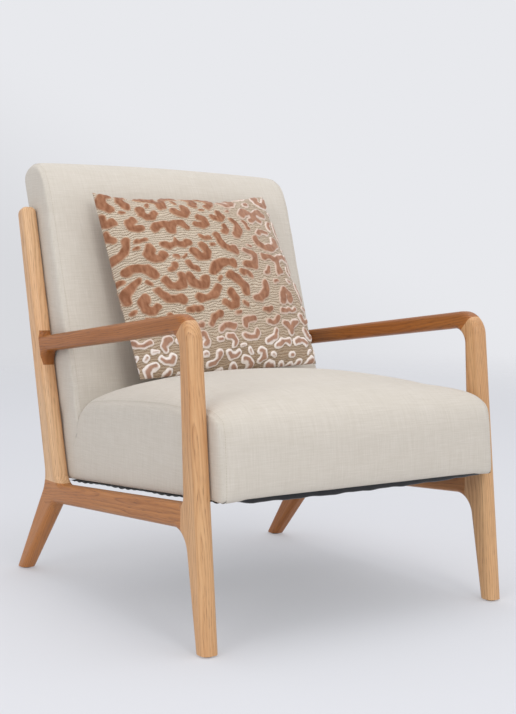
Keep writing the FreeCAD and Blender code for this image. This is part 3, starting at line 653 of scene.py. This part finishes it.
def build_upholstery():
    """The linen unit: inflated a little as cloth, smoothed, and drawn in along its seams."""
    box, seams = unit_box()
    points = np.array(box.points)
    centre = points.copy()
    crevice = back_point(*CREVICE_DEEP)
    near = np.hypot(points[:, 1] - crevice[0], points[:, 2] - crevice[1])
    floor_line = SEAT_FRONT[1] - (points[:, 1] - SEAT_FRONT[0]) * math.tan(SEAT_PITCH)
    low = (points[:, 2] - floor_line) < 0.012
    pins = np.clip(1.6 - near / 0.06, 0, 1)
    pins[low] = 1.0
    blown = inflate(points, box.faces, pressure=1.4, frames=16, stiffness=(40.0, 20.0), bending=6.0,
                    pins=pins)
    move = blown - points
    size = np.linalg.norm(move, axis=1, keepdims=True)
    centre = points + move * (BLOW_CAP * np.tanh(size / BLOW_CAP) / np.maximum(size, 1e-9))
    centre[:, 0] = np.clip(centre[:, 0], -UNIT_HALF, UNIT_HALF)
    centre = draw_in(centre, box.faces, sorted({int(v) for pair in seams for v in pair}), EDGE_PULL)
    piece = mesh_object("linen_upholstery", centre, box.faces)
    mesh = piece.data
    layer = mesh.uv_layers.new(name="flat")
    layer.data.foreach_set("uv", np.array(box.uvs).ravel())
    sewn = {tuple(sorted(map(int, pair))) for pair in seams}
    for edge in mesh.edges:
        edge.use_seam = tuple(sorted(edge.vertices)) in sewn
    subdivision = piece.modifiers.new("smooth", "SUBSURF")
    subdivision.levels = subdivision.render_levels = 1
    subdivision.boundary_smooth = "ALL"
    apply_modifiers(piece)
    lines = seam_lines(piece.data)
    sink_seams(piece.data)
    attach(piece, CHAIR)
    return piece, lines


def draw_in(points, faces, chosen, depth):
    """Moves the chosen points of a closed mesh inwards, towards the middle of their neighbours."""
    around = {v: set() for v in chosen}
    for face in faces:
        for k, v in enumerate(face):
            if v in around:
                around[v].update((face[k - 1], face[(k + 1) % len(face)]))
    moved = points.copy()
    for v, others in around.items():
        pull = points[sorted(others)].mean(axis=0) - points[v]
        moved[v] += pull * min(1.0, depth / max(np.linalg.norm(pull), 1e-9))
    return moved


def seam_lines(mesh):
    """Each run of sewn edges as an array of points, from one end to the other."""
    links = {}
    for edge in mesh.edges:
        if edge.use_seam:
            a, b = edge.vertices
            links.setdefault(a, []).append(b)
            links.setdefault(b, []).append(a)
    lines, seen = [], set()
    starts = [v for v, others in links.items() if len(others) == 1] or [next(iter(links))]
    for start in sorted(starts):
        if start in seen:
            continue
        line, here = [start], start
        seen.add(start)
        while True:
            onward = [v for v in links[here] if v not in seen]
            if not onward:
                break
            here = onward[0]
            seen.add(here)
            line.append(here)
        lines.append(np.array([mesh.vertices[v].co for v in line]))
    return lines


def sink_seams(mesh):
    """Sinks a narrow groove into the fabric along every sewn edge."""
    build = bmesh.new()
    build.from_mesh(mesh)
    sewn = [e for e in build.edges if e.seam]
    made = bmesh.ops.bevel(build, geom=sewn, offset=SEAM_WIDTH, offset_type="OFFSET", segments=2,
                           profile=0.5, affect="EDGES", clamp_overlap=True)
    new_faces = set(made["faces"])
    build.normal_update()
    middle = [v for v in made["verts"] if v.is_valid and all(f in new_faces for f in v.link_faces)]
    for vertex in middle:
        vertex.co -= vertex.normal * SEAM_DEPTH
    for face in build.faces:
        face.smooth = True
    build.to_mesh(mesh)
    build.free()


# --- top-stitching, lining -----------------------------------------------------------------------
STITCH_OFFSET, STITCH_PITCH, STITCH_LENGTH, STITCH_RADIUS = 0.0056, 0.0042, 0.0030, 0.00034


def build_stitching(upholstery, lines):
    """A row of thread stitches beside every sewn edge, lying on the long panel."""
    graph = bpy.context.evaluated_depsgraph_get()
    surface = BVHTree.FromObject(upholstery, graph)
    points, faces = [], []
    sides, rings = 6, ((-0.5, 0.35), (-0.3, 1.0), (0.3, 1.0), (0.5, 0.35))
    for line in lines:
        inwards = -math.copysign(STITCH_OFFSET, line[:, 0].mean())
        count = int(run_along(line)[-1] / STITCH_PITCH)
        path = spaced(line, count)
        for here, ahead in zip(path[:-1], path[1:]):
            spot = Vector((here + ahead) / 2) + Vector((inwards, 0, 0))
            place, normal, _, distance = surface.find_nearest(spot)
            if place is None or distance > 2 * STITCH_OFFSET:
                continue
            along = Vector(ahead - here).normalized()
            side = normal.cross(along).normalized()
            base = len(points)
            for share, thick in rings:
                centre = place + along * (share * STITCH_LENGTH) + normal * (0.0001 * thick)
                for k in range(sides):
                    turn = 2 * math.pi * k / sides
                    points.append(centre + (side * math.cos(turn) + normal * math.sin(turn))
                                  * (STITCH_RADIUS * thick))
            for ring in range(len(rings) - 1):
                for k in range(sides):
                    a, b = base + ring * sides + k, base + ring * sides + (k + 1) % sides
                    faces.append((a, b, b + sides, a + sides))
            faces.append(tuple(base + k for k in range(sides))[::-1])
            faces.append(tuple(base + (len(rings) - 1) * sides + k for k in range(sides)))
    piece = mesh_object("top_stitching", points, faces, CHAIR)
    return piece


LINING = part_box("seat_lining")
LINING_HALF, LINING_SAG, LINING_LOW = LINING[1].x + 0.002, 0.004, 0.0022
LINING_FROM, LINING_TO = 0.0035, 0.578       # its front and rear edges, along the seat
STAPLED_FRONT, STAPLED_SIDE = 0.0185, 0.286  # the lines where it is stapled
FLAP_DROOP, PUCKER_PITCH, PUCKER_DEPTH = 0.0072, 0.024, 0.0026


def build_lining():
    """The black dust cover under the seat: stapled near its edges, with a loose, puckered rim."""
    rng = np.random.default_rng(7)
    wide, deep = 150, 144
    xs = np.linspace(-LINING_HALF, LINING_HALF, wide + 1)
    backs = np.concatenate([np.linspace(LINING_FROM, STAPLED_FRONT, 6)[:-1],
                            np.linspace(STAPLED_FRONT, LINING_TO, deep - 4)])
    x, back = np.meshgrid(xs, backs, indexing="ij")
    share = x / LINING_HALF
    run = (back - STAPLED_FRONT) / (LINING_TO - STAPLED_FRONT)
    sag = LINING_SAG * (1 - share ** 2) * np.clip(4 * run * (1 - run), 0, 1)
    lean = np.interp(share[:, 0], [-1, -0.93, -0.80, -0.5, -0.1, 0.4, 0.75, 0.92, 1],
                     [0, 0.05, 0.75, 0.95, 1.0, 0.85, 0.5, 0.1, 0])
    flap = np.clip((STAPLED_FRONT - back) / (STAPLED_FRONT - LINING_FROM), 0, 1)
    belly = np.interp(flap, [0, 0.3, 0.6, 0.85, 1.0], [0, 0.45, 0.95, 0.9, 0.0])
    waves = np.sin(2 * np.pi * x / 0.085 + 1.0) + 0.6 * np.sin(2 * np.pi * x / 0.037)
    droop = belly * (FLAP_DROOP * lean[:, None] + 0.0006 * waves) - 0.0030 * np.clip(flap - 0.6, 0, 1) / 0.4
    phase = np.cumsum(rng.uniform(0.6, 1.4, len(backs))) * (backs[-1] - backs[4]) / len(backs)
    pucker = np.abs(np.sin(np.pi * phase / PUCKER_PITCH)) * (0.6 + 0.4 * np.sin(phase * 41.0))
    rim = np.clip((np.abs(x) - STAPLED_SIDE) / (LINING_HALF - STAPLED_SIDE), 0, 1)
    side = rim * PUCKER_DEPTH * pucker[None, :]
    ripple = 0.0007 * np.sin(x * 60 + back * 23) * np.sin(back * 71 - x * 19) * (1 - rim)
    down = LINING_LOW + sag + droop + side + np.maximum(ripple, 0)
    pitch = np.array([seat_point(b, 0.0) for b in backs])
    grid = np.stack([x, np.broadcast_to(pitch[:, 0], x.shape), pitch[None, :, 1] - down], axis=2)
    rows, columns = x.shape
    faces = [(i * columns + j, i * columns + j + 1, (i + 1) * columns + j + 1, (i + 1) * columns + j)
             for i in range(rows - 1) for j in range(columns - 1)]
    piece = mesh_object("dust_lining", grid.reshape(-1, 3), faces, CHAIR)
    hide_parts("seat_lining")
    return piece


# --- loose cushion -------------------------------------------------------------------------------
CUSHION_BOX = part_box("cushion_cover")
CUSHION_MIDDLE = (CUSHION_BOX[0] + CUSHION_BOX[1]) / 2
CUSHION_RECLINE = math.radians(23.5)
CUSHION_CORNERS = ((-0.208, -0.210), (0.228, -0.191), (-0.232, 0.1935), (0.1915, 0.2065))
CUSHION_CUT = (0.455, 0.435)                 # the cover's panels as cut, less their seams
CUSHION_CELLS, CUSHION_FINER = (46, 44), 5
CUSHION_HALF_THICK = 0.056
# How far the top edge sags and the side edge swells out, against the edge's place from -1 to 1.
TOP_DIP = ((-1, 0), (-0.8, 0.011), (-0.58, 0.016), (-0.28, 0.014), (0.12, 0.015), (0.37, 0.021),
           (0.63, 0.013), (0.8, 0.0065), (1, 0))
SIDE_SWELL = ((-1, 0), (-0.6, 0.007), (-0.27, 0.008), (0.25, 0.0), (0.7, -0.003), (1, 0))
EVENNESS = 0.72                              # how far the blown cloth is spread evenly over the outline
FILL_PLUMPNESS = 0.5                         # share of the depth that is a smooth lens, not blown cloth
PILE_HEIGHT = 0.0034
PILE_RANGE = 0.009                           # depth inside a spot, in metres, that the material reads as 1
MIRROR_AT, MIRROR_PITCH = -0.085, 0.235      # the pattern's first mirror line, and the next one's distance


def finer(grid, times):
    """A grid of points with this many times more cells, on a smooth surface through them."""
    for axis in (0, 1):
        g = np.moveaxis(grid, axis, 0)
        ends = np.concatenate([[2 * g[0] - g[1]], g, [2 * g[-1] - g[-2]]])
        a, b, c, d = ends[:-3], ends[1:-2], ends[2:-1], ends[3:]
        rows = []
        for k in range(times):
            t = k / times
            rows.append(0.5 * (2 * b + (c - a) * t + (2 * a - 5 * b + 4 * c - d) * t**2
                               + (3 * b - a - 3 * c + d) * t**3))
        out = np.stack(rows, axis=1).reshape(-1, *g.shape[1:])
        grid = np.moveaxis(np.concatenate([out, g[-1:]]), 0, axis)
    return grid


def value_noise(u, v, pitch, rng):
    """Smooth random values from -1 to 1 over flat coordinates."""
    table = rng.uniform(-1, 1, (64, 64))
    u, v = u / pitch + 20, v / pitch + 20
    iu, iv = np.floor(u).astype(int), np.floor(v).astype(int)
    fu, fv = u - iu, v - iv
    fu, fv = fu * fu * (3 - 2 * fu), fv * fv * (3 - 2 * fv)

    def at(a, b):
        return table[(iu + a) % 64, (iv + b) % 64]

    return ((at(0, 0) * (1 - fu) + at(1, 0) * fu) * (1 - fv)
            + (at(0, 1) * (1 - fu) + at(1, 1) * fu) * fv)


def folded(u):
    """Distance from the nearest earlier mirror line, so that the pattern repeats in mirror images."""
    turn = np.abs(u - MIRROR_AT) % (2 * MIRROR_PITCH)
    return np.where(turn > MIRROR_PITCH, 2 * MIRROR_PITCH - turn, turn)


SPOT_REACH = CUSHION_CUT[1] / 2 + 0.01       # spots start a little beyond the panel's edges
DENSE_TOP = -0.115                           # below this height the spots lie close together
# Each round of spots: radius, links, least gap, tries, and the highest place that a spot starts at.
SPOT_ROUNDS = ((0.0094, 3, 0.0016, 1200, DENSE_TOP), (0.0070, 1, 0.0016, 500, DENSE_TOP),
               (0.0118, 4, 0.0034, 1800, SPOT_REACH), (0.0104, 3, 0.0032, 1500, SPOT_REACH),
               (0.0084, 2, 0.0030, 1500, SPOT_REACH), (0.0062, 1, 0.0030, 1200, SPOT_REACH))


def clearance(points, radii, others, sizes):
    """The least gap between two chains of round links."""
    return (np.hypot(*(points[:, None] - others).transpose(2, 0, 1)) - radii[:, None] - sizes).min()


def spot_chains(rng):
    """The spots of one repeat: curved chains of round links that lie clear of each other."""
    chains = []
    for radius, links, gap, tries, top in SPOT_ROUNDS:
        for _ in range(tries):
            point = rng.uniform((-0.004, -SPOT_REACH), (MIRROR_PITCH + 0.004, top))
            heading, bend = rng.normal(0, 0.75), rng.choice([-1, 1]) * rng.uniform(0.35, 1.15)
            step = radius * rng.uniform(1.05, 1.35)
            points = [point]
            for _ in range(links):
                points.append(points[-1] + step * np.array([math.cos(heading), math.sin(heading)]))
                heading += bend * rng.uniform(0.5, 1.3)
            points = np.array(points)
            radii = radius * rng.uniform(0.78, 1.12, links + 1)
            place = np.stack([folded(points[:, 0] + MIRROR_AT), points[:, 1]], axis=1)
            if all(clearance(place, radii, other, sizes) > gap for other, _, sizes in chains):
                chains.append((place, points, radii))
    return chains


def spot_field(u, v):
    """How far inside a velvet spot each flat point is, in metres; below zero on the ground cloth."""
    rng = np.random.default_rng(23)
    chains = spot_chains(rng)
    across = folded(u) + 0.0028 * value_noise(u, v, 0.013, rng)
    along = v + 0.0028 * value_noise(u, v, 0.013, rng)
    field = np.full(u.shape, -1.0)
    for _, points, radii in chains:
        for a, b, r, q in zip(points[:-1], points[1:], radii[:-1], radii[1:]):
            du, dv = b - a
            t = np.clip(((across - a[0]) * du + (along - a[1]) * dv) / (du * du + dv * dv), 0, 1)
            distance = np.hypot(across - a[0] - t * du, along - a[1] - t * dv)
            field = np.maximum(field, r + (q - r) * t - distance)
    return field


def lens(u, v, half):
    """A smooth plump shape with flat edges, over -1 to 1 each way."""
    return half * np.clip((1 - np.abs(u) ** 2.6) * (1 - np.abs(v) ** 2.6), 0, 1) ** 0.55


def cushion_halves():
    """The blown-up cover as two grids, front and rear, on the cushion's own flat axes."""
    columns, rows = CUSHION_CELLS
    u, v = np.meshgrid(np.linspace(-1, 1, columns + 1), np.linspace(-1, 1, rows + 1), indexing="ij")
    flat_u, flat_v = u * CUSHION_CUT[0] / 2, v * CUSHION_CUT[1] / 2
    thick = lens(u, v, 0.020)
    index, other = two_sides(columns + 1, rows + 1)
    front = np.stack([flat_u, flat_v, thick], axis=2).reshape(-1, 3)
    rear = np.stack([flat_u, flat_v, -thick], axis=2)[1:-1, 1:-1].reshape(-1, 3)
    blown = inflate(np.vstack([front, rear]), quads(index) + quads(other, True), pressure=2.6, frames=34,
                    stiffness=(18.0, 6.0), bending=0.12)
    return [blown[index], blown[other]]


def place_cushion(halves):
    """Moves both halves from the flat axes to where the cushion leans on the back and seat."""
    front = halves[0]
    left, right_edge, low, high = front[0, :, 0], front[-1, :, 0], front[:, 0, 1], front[:, -1, 1]
    thick = np.percentile(np.abs(front[..., 2]), 99.5)
    columns, rows = front.shape[:2]
    even_a, even_b = np.meshgrid(np.linspace(0, 1, columns), np.linspace(0, 1, rows), indexing="ij")
    plump = lens(2 * even_a - 1, 2 * even_b - 1, 1.0)
    right = np.array([1.0, 0.0, 0.0])
    up = np.array([0.0, math.sin(CUSHION_RECLINE), math.cos(CUSHION_RECLINE)])
    out = np.array([0.0, -math.cos(CUSHION_RECLINE), math.sin(CUSHION_RECLINE)])
    placed = []
    for half in halves:
        a = (half[..., 0] - left) / (right_edge - left)
        b = (half[..., 1] - low[:, None]) / (high - low)[:, None]
        a, b = EVENNESS * even_a + (1 - EVENNESS) * a, EVENNESS * even_b + (1 - EVENNESS) * b
        weights = ((1 - a) * (1 - b), a * (1 - b), (1 - a) * b, a * b)
        flat = sum(w[..., None] * np.array(c) for w, c in zip(weights, CUSHION_CORNERS))
        flat[..., 1] -= np.interp(2 * a - 1, *zip(*TOP_DIP)) * np.clip(2 * b - 1, 0, 1) ** 1.5
        flat[..., 0] += np.interp(2 * b - 1, *zip(*SIDE_SWELL)) * np.clip(2 * a - 1, 0, 1)
        rise = half[..., 2] / thick
        side = 1 if half is front else -1
        depth = CUSHION_HALF_THICK * ((1 - FILL_PLUMPNESS) * rise + FILL_PLUMPNESS * plump * side)
        world = (np.array(CUSHION_MIDDLE) + flat[..., :1] * right + flat[..., 1:] * up
                 + depth[..., None] * out)
        placed.append(rest_on_unit(world))
    return placed


def seat_height(x, y):
    """How high the seat's upholstered top is under a point."""
    back = (y - SEAT_FRONT[0]) / math.cos(SEAT_PITCH)
    edge = np.array(SEAT_TOP_EDGE)
    side = np.interp(back, edge[:, 0], edge[:, 1])
    share = np.clip(np.abs(x) / UNIT_HALF, 0, 1)
    dome = DOME_SHARE * (1 - share ** 2) + (1 - DOME_SHARE) * (1 - share ** SHOULDER)
    rise = np.interp(back, [0.1, 0.16, 0.25, 0.42, 0.5, 0.53], [0.036, 0.042, 0.049, 0.048, 0.040, 0.02])
    return SEAT_FRONT[1] - back * math.sin(SEAT_PITCH) + (side + rise * dome) * math.cos(SEAT_PITCH)


def rest_on_unit(world, gap=0.0012):
    """Flattens the cushion where it lies against the back and on the seat."""
    lean = np.array([math.sin(BACK_RECLINE), math.cos(BACK_RECLINE)])
    into = np.array([math.cos(BACK_RECLINE), -math.sin(BACK_RECLINE)])
    from_foot = world[..., 1:] - np.array(BACK_FOOT)
    deep, up = from_foot @ into, from_foot @ lean
    swell = np.interp(up, [0.2, 0.32, 0.5, 0.65], [0.0, 0.0055, 0.0085, 0.007])
    share = np.clip(np.abs(world[..., 0]) / UNIT_HALF, 0, 1)
    over = deep + swell * (1 - share ** 2) + gap
    world[..., 1:] -= np.maximum(over, 0)[..., None] * into
    under = seat_height(world[..., 0], world[..., 1]) + gap - world[..., 2]
    world[..., 2] += np.maximum(under, 0)
    return world


def build_cushion():
    """The velvet scatter cushion, with its pile spots raised in the mesh."""
    front, rear = place_cushion(cushion_halves())
    fine_front, fine_rear = finer(front, CUSHION_FINER), finer(rear, CUSHION_FINER)
    columns, rows = fine_front.shape[:2]
    u, v = np.meshgrid(np.linspace(-0.5, 0.5, columns) * CUSHION_CUT[0],
                       np.linspace(-0.5, 0.5, rows) * CUSHION_CUT[1], indexing="ij")
    field = spot_field(u, v)
    rise = np.sqrt(np.clip((field + 0.0008) / 0.0050, 0, 1))
    rng = np.random.default_rng(5)
    rise *= 1 + 0.22 * value_noise(u, v, 0.006, rng)
    slope_u, slope_v = np.gradient(fine_front, axis=0), np.gradient(fine_front, axis=1)
    normal = np.cross(slope_u, slope_v)
    normal /= np.maximum(np.linalg.norm(normal, axis=2, keepdims=True), 1e-12)
    edge = np.minimum(1 - np.abs(u) * 2 / CUSHION_CUT[0], 1 - np.abs(v) * 2 / CUSHION_CUT[1])
    rise *= np.clip(edge / 0.02, 0, 1)
    fine_front = fine_front + normal * (rise * PILE_HEIGHT)[..., None]
    index, other = two_sides(columns, rows)
    points = np.vstack([fine_front.reshape(-1, 3), fine_rear[1:-1, 1:-1].reshape(-1, 3)])
    faces = quads(index) + quads(other, True)
    flat = np.stack([u, v], axis=2).reshape(-1, 2)
    uvs = flat[np.array(quads(index) + quads(index, True)).ravel()]
    piece = mesh_object("velvet_cushion", points, faces, CUSHION)
    mesh = piece.data
    mesh.uv_layers.new(name="flat").data.foreach_set("uv", uvs.ravel())
    mesh.materials.append(velvet("cut_velvet"))
    mesh.materials.append(plain_cloth("brown_cushion_back", srgb(156, 118, 84), sheen=0.4))
    mesh.polygons.foreach_set("material_index", np.repeat([0, 1], len(faces) // 2))
    pile = np.full(len(points), -1.0, np.float32)
    pile[:columns * rows] = np.clip(field.ravel() / PILE_RANGE, -1, 1)
    mesh.attributes.new("pile", "FLOAT", "POINT").data.foreach_set("value", pile)
    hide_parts("cushion_cover", "cushion_pad")
    return piece


# --- stage, light and camera ---------------------------------------------------------------------
AIR_LOW, AIR_HIGH = srgb(217, 218, 222), srgb(232, 233, 237)
AIR_ASIDE = (0.824, -0.566)      # the side of the studio whose air stays bright lowest
PAPER, PAPER_GLOW = srgb(178, 179, 183), 0.285


def build_stage():
    """A pale floor of glowing paper that fades into the studio's air far from the chair."""
    rings, radii = 96, (0.3, 1.0, 2.0, 3.5, 6.0, 10.0, 16.0)
    points = [(r * math.cos(2 * math.pi * k / rings), r * math.sin(2 * math.pi * k / rings), 0.0)
              for r in radii for k in range(rings)]
    faces = [(i * rings + k, i * rings + (k + 1) % rings, (i + 1) * rings + (k + 1) % rings,
              (i + 1) * rings + k) for i in range(len(radii) - 1) for k in range(rings)]
    faces = [face[::-1] for face in faces] + [tuple(range(rings))]
    floor = mesh_object("studio_floor", points, faces)
    g = Graph("studio_paper")
    tone = g.noise(g.place(), scale=1.2, detail=2.0)
    colour = g.mix(tone, shade(PAPER, 0.99), PAPER)
    shown = g.ramp(g.over(g.length(g.place()), 12.0), (0.20, 1.0), (0.70, 0.0), smooth=True)
    floor.data.materials.append(g.finish(Base_Color=colour, Roughness=0.9, Specular_IOR_Level=0.1,
                                         Alpha=shown, Emission_Color=(0.985, 0.99, 1.02),
                                         Emission_Strength=PAPER_GLOW))


def area_light(name, place, target, size, power, colour):
    """A square soft light that looks at a point."""
    light = bpy.data.lights.new(name, "AREA")
    light.shape, light.size, light.energy, light.color = "SQUARE", size, power, colour
    made = bpy.data.objects.new(name, light)
    made.location = place
    made.rotation_euler = (Vector(target) - Vector(place)).to_track_quat("-Z", "Y").to_euler()
    made.visible_camera = False
    bpy.context.scene.collection.objects.link(made)


def build_lights():
    """A soft key from the front, a lower one from the near side, a broad one overhead, and pale air."""
    target = (0.0, 0.0, 0.40)
    area_light("key", (-0.67, -4.6, 2.8), target, 1.4, 40.0, (1.0, 0.99, 0.97))
    area_light("side", (-3.7, -1.8, 1.9), target, 1.8, 30.0, (1.0, 0.995, 0.98))
    area_light("overhead", (0.2, -0.4, 3.6), target, 2.4, 31.0, (0.99, 0.995, 1.0))
    world = bpy.data.worlds.new("studio_air")
    world.use_nodes = True
    tree = world.node_tree
    background = tree.nodes["Background"]
    blend = tree.nodes.new("ShaderNodeValToRGB")
    blend.color_ramp.interpolation = "EASE"
    low, high = blend.color_ramp.elements
    low.position, low.color = 0.42, (*AIR_LOW, 1.0)
    high.position, high.color = 0.56, (*AIR_HIGH, 1.0)
    slant = tree.nodes.new("ShaderNodeVectorMath")
    slant.operation = "DOT_PRODUCT"
    slant.inputs[1].default_value = (0.52 * AIR_ASIDE[0], 0.52 * AIR_ASIDE[1], 1.0)
    half = tree.nodes.new("ShaderNodeMapRange")
    half.inputs["From Min"].default_value, half.inputs["From Max"].default_value = -0.7, 0.7
    tree.links.new(tree.nodes.new("ShaderNodeTexCoord").outputs["Generated"], slant.inputs[0])
    tree.links.new(slant.outputs["Value"], half.inputs["Value"])
    tree.links.new(half.outputs[0], blend.inputs[0])
    tree.links.new(blend.outputs[0], background.inputs["Color"])
    background.inputs["Strength"].default_value = 1.0
    bpy.context.scene.world = world


def build_camera():
    """The camera at the object's three-quarter front view."""
    camera = bpy.data.cameras.new("camera")
    camera.lens, camera.sensor_width, camera.sensor_fit = CAMERA_LENS, CAMERA_SENSOR, "AUTO"
    made = bpy.data.objects.new("camera", camera)
    bpy.context.scene.collection.objects.link(made)
    ahead = Vector((math.sin(CAMERA_YAW) * math.cos(CAMERA_PITCH),
                    math.cos(CAMERA_YAW) * math.cos(CAMERA_PITCH), math.sin(CAMERA_PITCH)))
    right = Vector((math.cos(CAMERA_YAW), -math.sin(CAMERA_YAW), 0.0))
    up = right.cross(ahead)
    x = right * math.cos(CAMERA_ROLL) + up * math.sin(CAMERA_ROLL)
    y = -right * math.sin(CAMERA_ROLL) + up * math.cos(CAMERA_ROLL)
    turn = Matrix((x, y, -ahead)).transposed().to_4x4()
    made.matrix_world = Matrix.Translation(CAMERA_PLACE) @ turn
    bpy.context.scene.camera = made


# --- put together --------------------------------------------------------------------------------
# The light and dark tone of each board of wood.
GOLD = srgb(218, 176, 129), srgb(162, 110, 64)
PALE = srgb(228, 189, 146), srgb(180, 131, 86)
AMBER = srgb(188, 125, 65), srgb(136, 82, 38)
BROWN = srgb(172, 105, 44), srgb(118, 67, 23)
# Each member's lean from +Z towards +Y, and the boards that its left and right pieces are cut from; the far
# rear leg's darker board is painted shade.
MEMBERS = {
    "front_leg": (math.atan(0.12), GOLD, GOLD),
    "arm": (math.pi / 2 + math.atan(0.113), BROWN, BROWN),
    "back_post": (math.atan(0.27), PALE, PALE),
    "side_rail": (math.pi / 2 + math.atan(0.076), AMBER, AMBER),
    # painted shade: the left rear leg, the far one, takes the darker BROWN board for the shade under the
    # seat
    "rear_leg": (math.atan(-0.80), BROWN, AMBER),
}
POST_FIGURE = 0.855            # height of the swirl in the near post's grain


def dress_nodes():
    """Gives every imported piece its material."""
    seed = 1
    for member, (lean, *boards) in MEMBERS.items():
        for side, board in zip(("left", "right"), boards):
            node = f"{member}_{side}"
            figure = POST_FIGURE if node == "back_post_right" else None
            dress(node, wood(f"ash_{node}", lean, seed, *board, figure=figure))
            seed += 1
    plain = {
        "dowel_wood": wood("dowel_wood", 0.3, 20, *AMBER),
        "inner_timber": wood("softwood", math.pi / 2, 21, srgb(226, 196, 150), srgb(196, 150, 96),
                             ring=0.006),
        "foam": speckled("foam", srgb(236, 228, 200), 0.95),
        "webbing": plain_cloth("elastic_webbing", srgb(58, 56, 56), 0.0016),
        "lining": plain_cloth("black_lining", srgb(34, 34, 37)),
        "steel": metal("zinc_steel", srgb(200, 202, 206), 0.3),
        "insert_metal": metal("brass_insert", srgb(214, 178, 102), 0.35),
        "glide_plastic": speckled("nylon_glide", srgb(52, 44, 38), 0.5),
        "linen": linen("linen_cover_cad", srgb(206, 199, 186)),
        "cut_velvet": plain_cloth("brown_cushion_cad", srgb(150, 112, 80)),
        "cushion_fill": speckled("fibre_fill", srgb(240, 238, 232), 0.95),
    }
    for part in frame["record"]["subparts"]:
        if part["material_slot"] in plain:
            dress(part["node"], plain[part["material_slot"]])
    return plain


def dress(node, material):
    """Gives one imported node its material."""
    slots = NODES[node].data.materials
    slots.clear()
    slots.append(material)


def main():
    scene = bpy.context.scene
    scene.view_settings.view_transform = "Standard"
    build_camera()
    build_stage()
    build_lights()
    plain = dress_nodes()
    upholstery, lines = build_upholstery()
    upholstery.data.materials.append(linen("greige_linen", srgb(211, 204, 193)))
    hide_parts("seat_cover", "back_cover", "seat_foam", "back_foam")
    stitching = build_stitching(upholstery, lines)
    stitching.data.materials.append(thread("linen_thread", srgb(196, 186, 168)))
    build_lining().data.materials.append(plain["lining"])
    build_cushion()


main()
